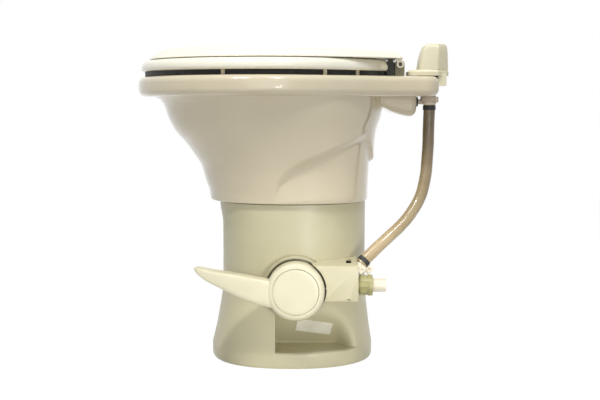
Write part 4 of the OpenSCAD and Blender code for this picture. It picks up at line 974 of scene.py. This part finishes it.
# Pedal: boss and cap profiles as (radius taken off, depth taken off); the arm's sections as
# (share of its length, underside, top, and how far its back and face lie in)
pedalSet = {
    "face": 166, "boss": 43.5, "cap": 35, "capGap": 0.45, "armIn": 134, "armLen": 152,
    "count": 128,
    "bossBack": ((3, 0), (0.8, 0.8), (0, 3)),
    "bossFront": ((0, 9), (0.3, 6.4), (1.2, 4), (2.6, 2), (4.4, 0.7), (6.4, 0.1)),
    "capSeat": ((-0.7, 0), (-0.15, 0.3), (0, 0.9), (0, 6)),
    "capEdge": ((0, 6.2), (0, 1), (0.2, 0.45), (0.8, 0.15), (6, 0)), "capCrown": 0.15,
    "armOut": 2, "armReach": 0.98, "armSteps": 40, "armRounds": (6, 5), "armCount": 48,
    "sections": [
        (1, 33, 35, 10, 8), (0.995, 31.4, 35.6, 7, 5.5), (0.975, 28, 36, 4, 3),
        (0.94, 23, 35.6, 1.5, 1.2), (0.89, 17, 34, 0, 0.5), (0.74, 5, 30, 0, 0),
        (0.5, -13, 24, 0, 0), (0.26, -24, 17, 0, 0), (0.02, -30, 10, 0, 1)],
}


def makePedal():
    s = pedalSet
    face, r, capR, armIn = s["face"], s["boss"], s["cap"], s["armIn"]
    profile = [(0, armIn)] + [(r - dr, armIn + dx) for dr, dx in s["bossBack"]]
    profile += [(r - dr, face - dx) for dr, dx in s["bossFront"]]
    profile += [(capR - dr, face - dx) for dr, dx in s["capSeat"]]
    profile.append((0, profile[-1][1]))
    boss = turned("pedalBoss", profile, hubCentre, "x", finish["ivory"], s["count"], sharpDeg=30)
    place(boss, "pedal", "ivory", "pedal")
    profile = [(capR - s["capGap"] - dr, face - dx) for dr, dx in s["capEdge"]]
    profile = [(0, profile[0][1]), *profile, (0, face + s["capCrown"])]
    cap = turned("pedalCap", profile, hubCentre, "x", finish["ivory"], s["count"], sharpDeg=30)
    place(cap, "pedal", "ivory", "pedal_cap")
    table = sorted((1 - row[0], *row[1:]) for row in s["sections"])
    _, hubY, hubZ = hubCentre
    rings = []
    for k in range(s["armSteps"] + 1):
        u = k / s["armSteps"] * s["armReach"]
        under, top, backIn, faceIn = (curveAt(u, table, column) for column in (1, 2, 3, 4))
        outline = boxOutline((armIn + backIn, hubZ + under),
                             (face - s["armOut"] - faceIn, hubZ + top),
                             s["armRounds"], s["armCount"])
        y = hubY - s["armLen"] * (1 - u)
        rings.append([(x, y, z) for x, z in outline])
    arm = addLoft("pedalArm", rings, finish["ivory"], sharpDeg=60)
    place(arm, "pedal", "ivory", "pedal")


makePedal()

# Cover over the water valve: form and inner as (x, z) outlines
coverSet = {
    "y": (26.5, 100.5), "wall": 2.5, "hollowFrom": 5, "hubGap": 3, "hubEnd": 160,
    "collar": (134, 50.8), "shellGap": 0.3, "shellLevels": (100, 112, 125, 150, 180),
    "form": [(66, 109), (147.5, 109), (149.4, 109.6), (150, 111.5), (150, 160.5),
             (149.2, 163.2), (146.5, 164.4), (120, 167), (66, 167.5)],
    "inner": [(64, 111.5), (147.5, 111.5), (147.5, 161.5), (120, 164.4), (64, 165)],
    "window": ((104, 83, 150), (134, 90.8, 175)), "notch": ((146.4, 83.5, 107), (152, 88.7, 113)),
    "shade": ((102, 81, 152), (136, 92.5, 160)), "shadeRound": 1.2,
    "inlet": (128, 131, 13.1), "inletCut": (10, 5),
    "barb": ((129.5, 87, 144.5), (121.6, 106.4, 162.9), 8.4),
}


def makeCover():
    s = coverSet
    y0, y1 = s["y"]
    # its finish is the ivory darkened with painted shade
    cover = prism("valveCover", s["form"], "y", (y0, y1), finish["cover"], sharpDeg=20)
    hollow = prism("coverHollow", s["inner"], "y", (y0 - s["hollowFrom"], y1 - s["wall"]))
    shell = addLoft("shellCutter",
                    [shellRing((z, None, 0), -s["shellGap"]) for z in s["shellLevels"]])
    _, hubY, hubZ = hubCentre
    collarEnd, collarR = s["collar"]
    x, z, r = s["inlet"]
    before, after = s["inletCut"]
    cutters = [
        hollow, shell,
        rodCutter(hubCentre, (s["hubEnd"], hubY, hubZ), pedalSet["boss"] + s["hubGap"]),
        rodCutter(hubCentre, (collarEnd, hubY, hubZ), collarR),
        rodCutter((x, y1 - before, z), (x, y1 + after, z), r),
        rodCutter(*s["barb"]),
        boxMesh("windowCutter", *s["window"]),
        boxMesh("cornerCutter", *s["notch"])]
    cutWith(cover, cutters, sharpDeg=30)
    place(cover, "root", "ivory", "valve_cover")


# Black block behind the cover's window: painted shade, so that the window reads dark
def makeWindowShade():
    block = boxMesh("windowShadeBlock", *coverSet["shade"], finish["black"])
    roundEdges(block, coverSet["shadeRound"])
    place(applyModifiers(block, sharpDeg=30), "root", "black")


lugSet = {"corners": [(117.6, 161.2), (126, 155.2), (116.8, 146.2), (109.9, 153.4)],
          "x": (120.5, 125.5), "hole": (119, 154.6, 1.5), "holeFrom": 2, "round": 0.8}


# Square lug beside the hose end
def makeLug():
    s = lugSet
    lug = prism("barbLug", s["corners"], "x", s["x"], finish["white"])
    y, z, r = s["hole"]
    start, end = ((x + s["holeFrom"], y, z) for x in s["x"])
    cutWith(lug, [rodCutter(start, end, r)])
    roundEdges(lug, s["round"])
    place(applyModifiers(lug, sharpDeg=30), "root", "white")


makeCover()
makeWindowShade()
makeLug()

# Hood of the vacuum breaker: flat faces, well rounded corners, leaning in towards the top.
# Sections are (share of the height, taken off the sides, front and back, corner radius).
hoodSet = {
    "low": 458.5, "high": 499.6, "half": 22, "front": -19.5, "back": 28, "cornerSteps": 6,
    "plan": [(-16, -12), (16, -12), (16, 8), (5, 21), (-5, 21), (-16, 8)],
    "sections": [(0, 0, 0, 0, 5.5), (0.1, 0.1, 0.3, 0, 5.5), (0.37, 0.5, 2, 0.2, 6),
                 (0.56, 1, 3.6, 0.5, 6.5), (0.75, 1.8, 6, 1, 7), (0.87, 2.8, 8.5, 1.8, 7.5),
                 (0.94, 4, 11, 3, 8), (0.98, 6, 14, 5, 8), (1, 9, 18, 8, 6)],
}


# The plan with its corners rounded by a radius
def hoodOutline(r):
    plan, steps = hoodSet["plan"], hoodSet["cornerSteps"]
    points = []
    for k, (x, y) in enumerate(plan):
        (px, py), (nx, ny) = plan[k - 1], plan[(k + 1) % len(plan)]
        start = math.atan2(-(x - px), y - py)
        end = math.atan2(-(nx - x), ny - y)
        turn = (end - start) % (2 * math.pi)
        angles = [start + turn * i / steps for i in range(steps + 1)]
        points += [(x + r * math.cos(a), y + r * math.sin(a)) for a in angles]
    return points


def makeHood():
    s = hoodSet
    cx, cy = breakerCentre
    rings = []
    for share, sideIn, frontIn, backIn, r in s["sections"]:
        points = hoodOutline(r)
        scaleX = (s["half"] - sideIn) / max(abs(x) for x, y in points)
        front, back = min(y for x, y in points), max(y for x, y in points)
        lowY, highY = s["front"] + frontIn, s["back"] - backIn
        z = mix(s["low"], s["high"], share)
        rings.append([(cx + x * scaleX, cy + mix(lowY, highY, (y - front) / (back - front)), z)
                      for x, y in points])
    hood = addLoft("breakerHood", rings, finish["ivory"], sharpDeg=50)
    place(hood, "root", "ivory", "breaker_cover")


makeHood()

# Finishes on the CAD pieces that stay: edge rounding in mm, and the finish where it isn't the
# slot's own
keptSet = {
    "round": {
        "spring_collar": 0.8, "valve_body": 0.8, "inlet_nut": 0.5, "inlet_stub": 0.5,
        "hose_barb": 0.6, "breaker_body": 2.4, "outlet_fitting": 0.8, "breaker_nut": 0.6,
        "hinge_posts": 1.2, "hinge_pins": 0.5, "seat_leaves": 0.8, "lid_leaves": 0.8,
        "seat_bumpers": 0.8, "lower_hose_clamp": 0.3, "upper_hose_clamp": 0.3,
        "breaker_gasket": 0.3},
    # the post and collar finishes here are darker copies with painted shade
    "finish": {"hinge_posts": "post", "hinge_pins": "pin", "spring_collar": "collar"},
    "weld": 0.02, "roundAngle": 32,
}


def dressCadPieces():
    s = keptSet
    slotOf = {p["node"]: p["material_slot"] for p in frame["record"]["subparts"]}
    for name, node in nodes.items():
        node.data.materials.clear()
        node.data.materials.append(finish[s["finish"].get(name, slotOf[name])])
        weld = node.modifiers.new("weld", "WELD")
        weld.merge_threshold = s["weld"] * mm
        if name in s["round"]:
            roundEdges(node, s["round"][name], s["roundAngle"])


dressCadPieces()

# Stage: a pale floor in a white surround, whose white is only seen and hardly lights
stageSet = {
    "reach": 3000, "floor": 0.7, "floorRough": 0.9, "floorShine": 0.1, "floorDrift": 0.98,
    "floorNoise": (3, 2), "shadow": 0.86, "glow": 1.12, "world": 0.24, "sky": (1, 0.99, 0.97),
    "white": (1, 1, 1),
}
# Each lamp's place, target, size, power and, for a spot, its angle. The spot is a narrow low
# light for the recess and the foot below it.
lampSet = {
    "leftLamp": ((1.08, -0.53, 2.1), (0, 0, 0.25), 0.25, 20.5, None),
    "rightLamp": ((1.14, 0.37, 2.1), (0, 0, 0.25), 0.25, 12.5, None),
    "topLamp": ((0.25, 0, 2.1), (0, 0, 0.4), 1.6, 5, None),
    "frontLamp": ((2.2, 0.2, 0.5), (0, 0, 0.2), 1.6, 7.5, None),
    "footSpot": ((1.7, 0.5, 0.12), (0.1, 0.055, 0.045), 0.25, 110, 16),
    "backLamp": ((-1.7, 0.4, 1.3), (0, 0, 0.3), 1.2, 3, None),
}


# One for rays that see the background: from the camera, off gloss and through clear stuff
def seesWhite(tree):
    path = addNode(tree, "LightPath", {})
    seen = path.outputs["Is Camera Ray"]
    for kind in ("Is Glossy Ray", "Is Transmission Ray"):
        either = addNode(tree, "Math", {0: seen, 1: path.outputs[kind]})
        either.operation = "MAXIMUM"
        seen = either.outputs[0]
    return seen


def makeWorld():
    s = stageSet
    world = bpy.data.worlds.new("studio")
    bpy.context.scene.world = world
    world.use_nodes = True
    tree = world.node_tree
    tree.nodes.clear()
    soft = addNode(tree, "Background", {"Color": (*s["sky"], 1), "Strength": s["world"]})
    white = addNode(tree, "Background", {"Color": (*s["white"], 1)})
    blend = addNode(tree, "MixShader", {"Fac": seesWhite(tree), 1: soft.outputs[0],
                                        2: white.outputs[0]})
    addNode(tree, "OutputWorld", {"Surface": blend.outputs[0]})


# The floor's own shading shows through its glow just enough to keep the object's shadow
def makeFloor():
    s = stageSet
    r, pale = s["reach"], [s["floor"]] * 3
    floor = addMesh("floor", [(-r, -r, 0), (r, -r, 0), (r, r, 0), (-r, r, 0)], [(0, 1, 2, 3)], None)
    material, tree, shader = newMaterial("paleFloor", pale, s["floorRough"],
                                         {"Specular IOR Level": s["floorShine"]})
    drift = [s["floor"] * s["floorDrift"]] * 3
    varyColor(tree, shader, noiseNode(tree, *s["floorNoise"]), drift, pale)
    glow = addNode(tree, "Emission", {"Strength": s["glow"]})
    share = addNode(tree, "Math", {0: seesWhite(tree), 1: s["shadow"]})
    share.operation = "MULTIPLY"
    blend = addNode(tree, "MixShader", {"Fac": share.outputs[0], 1: shader.outputs[0],
                                        2: glow.outputs[0]})
    wire(tree, tree.nodes["Material Output"], {"Surface": blend.outputs[0]})
    floor.data.materials.append(material)


def addLamp(name, position, target, size, power, angle):
    data = bpy.data.lights.new(name, "SPOT" if angle else "AREA")
    if angle:
        data.spot_size = math.radians(angle)
        data.spot_blend = 1
        data.shadow_soft_size = size
    else:
        data.size = size
    data.energy = power
    lamp = addObject(name, data)
    lamp.location = position
    aim = Vector(target) - Vector(position)
    lamp.rotation_euler = aim.to_track_quat("-Z", "Y").to_euler()


makeWorld()
makeFloor()
for lampName, lampValues in lampSet.items():
    addLamp(lampName, *lampValues)
print("stage done")
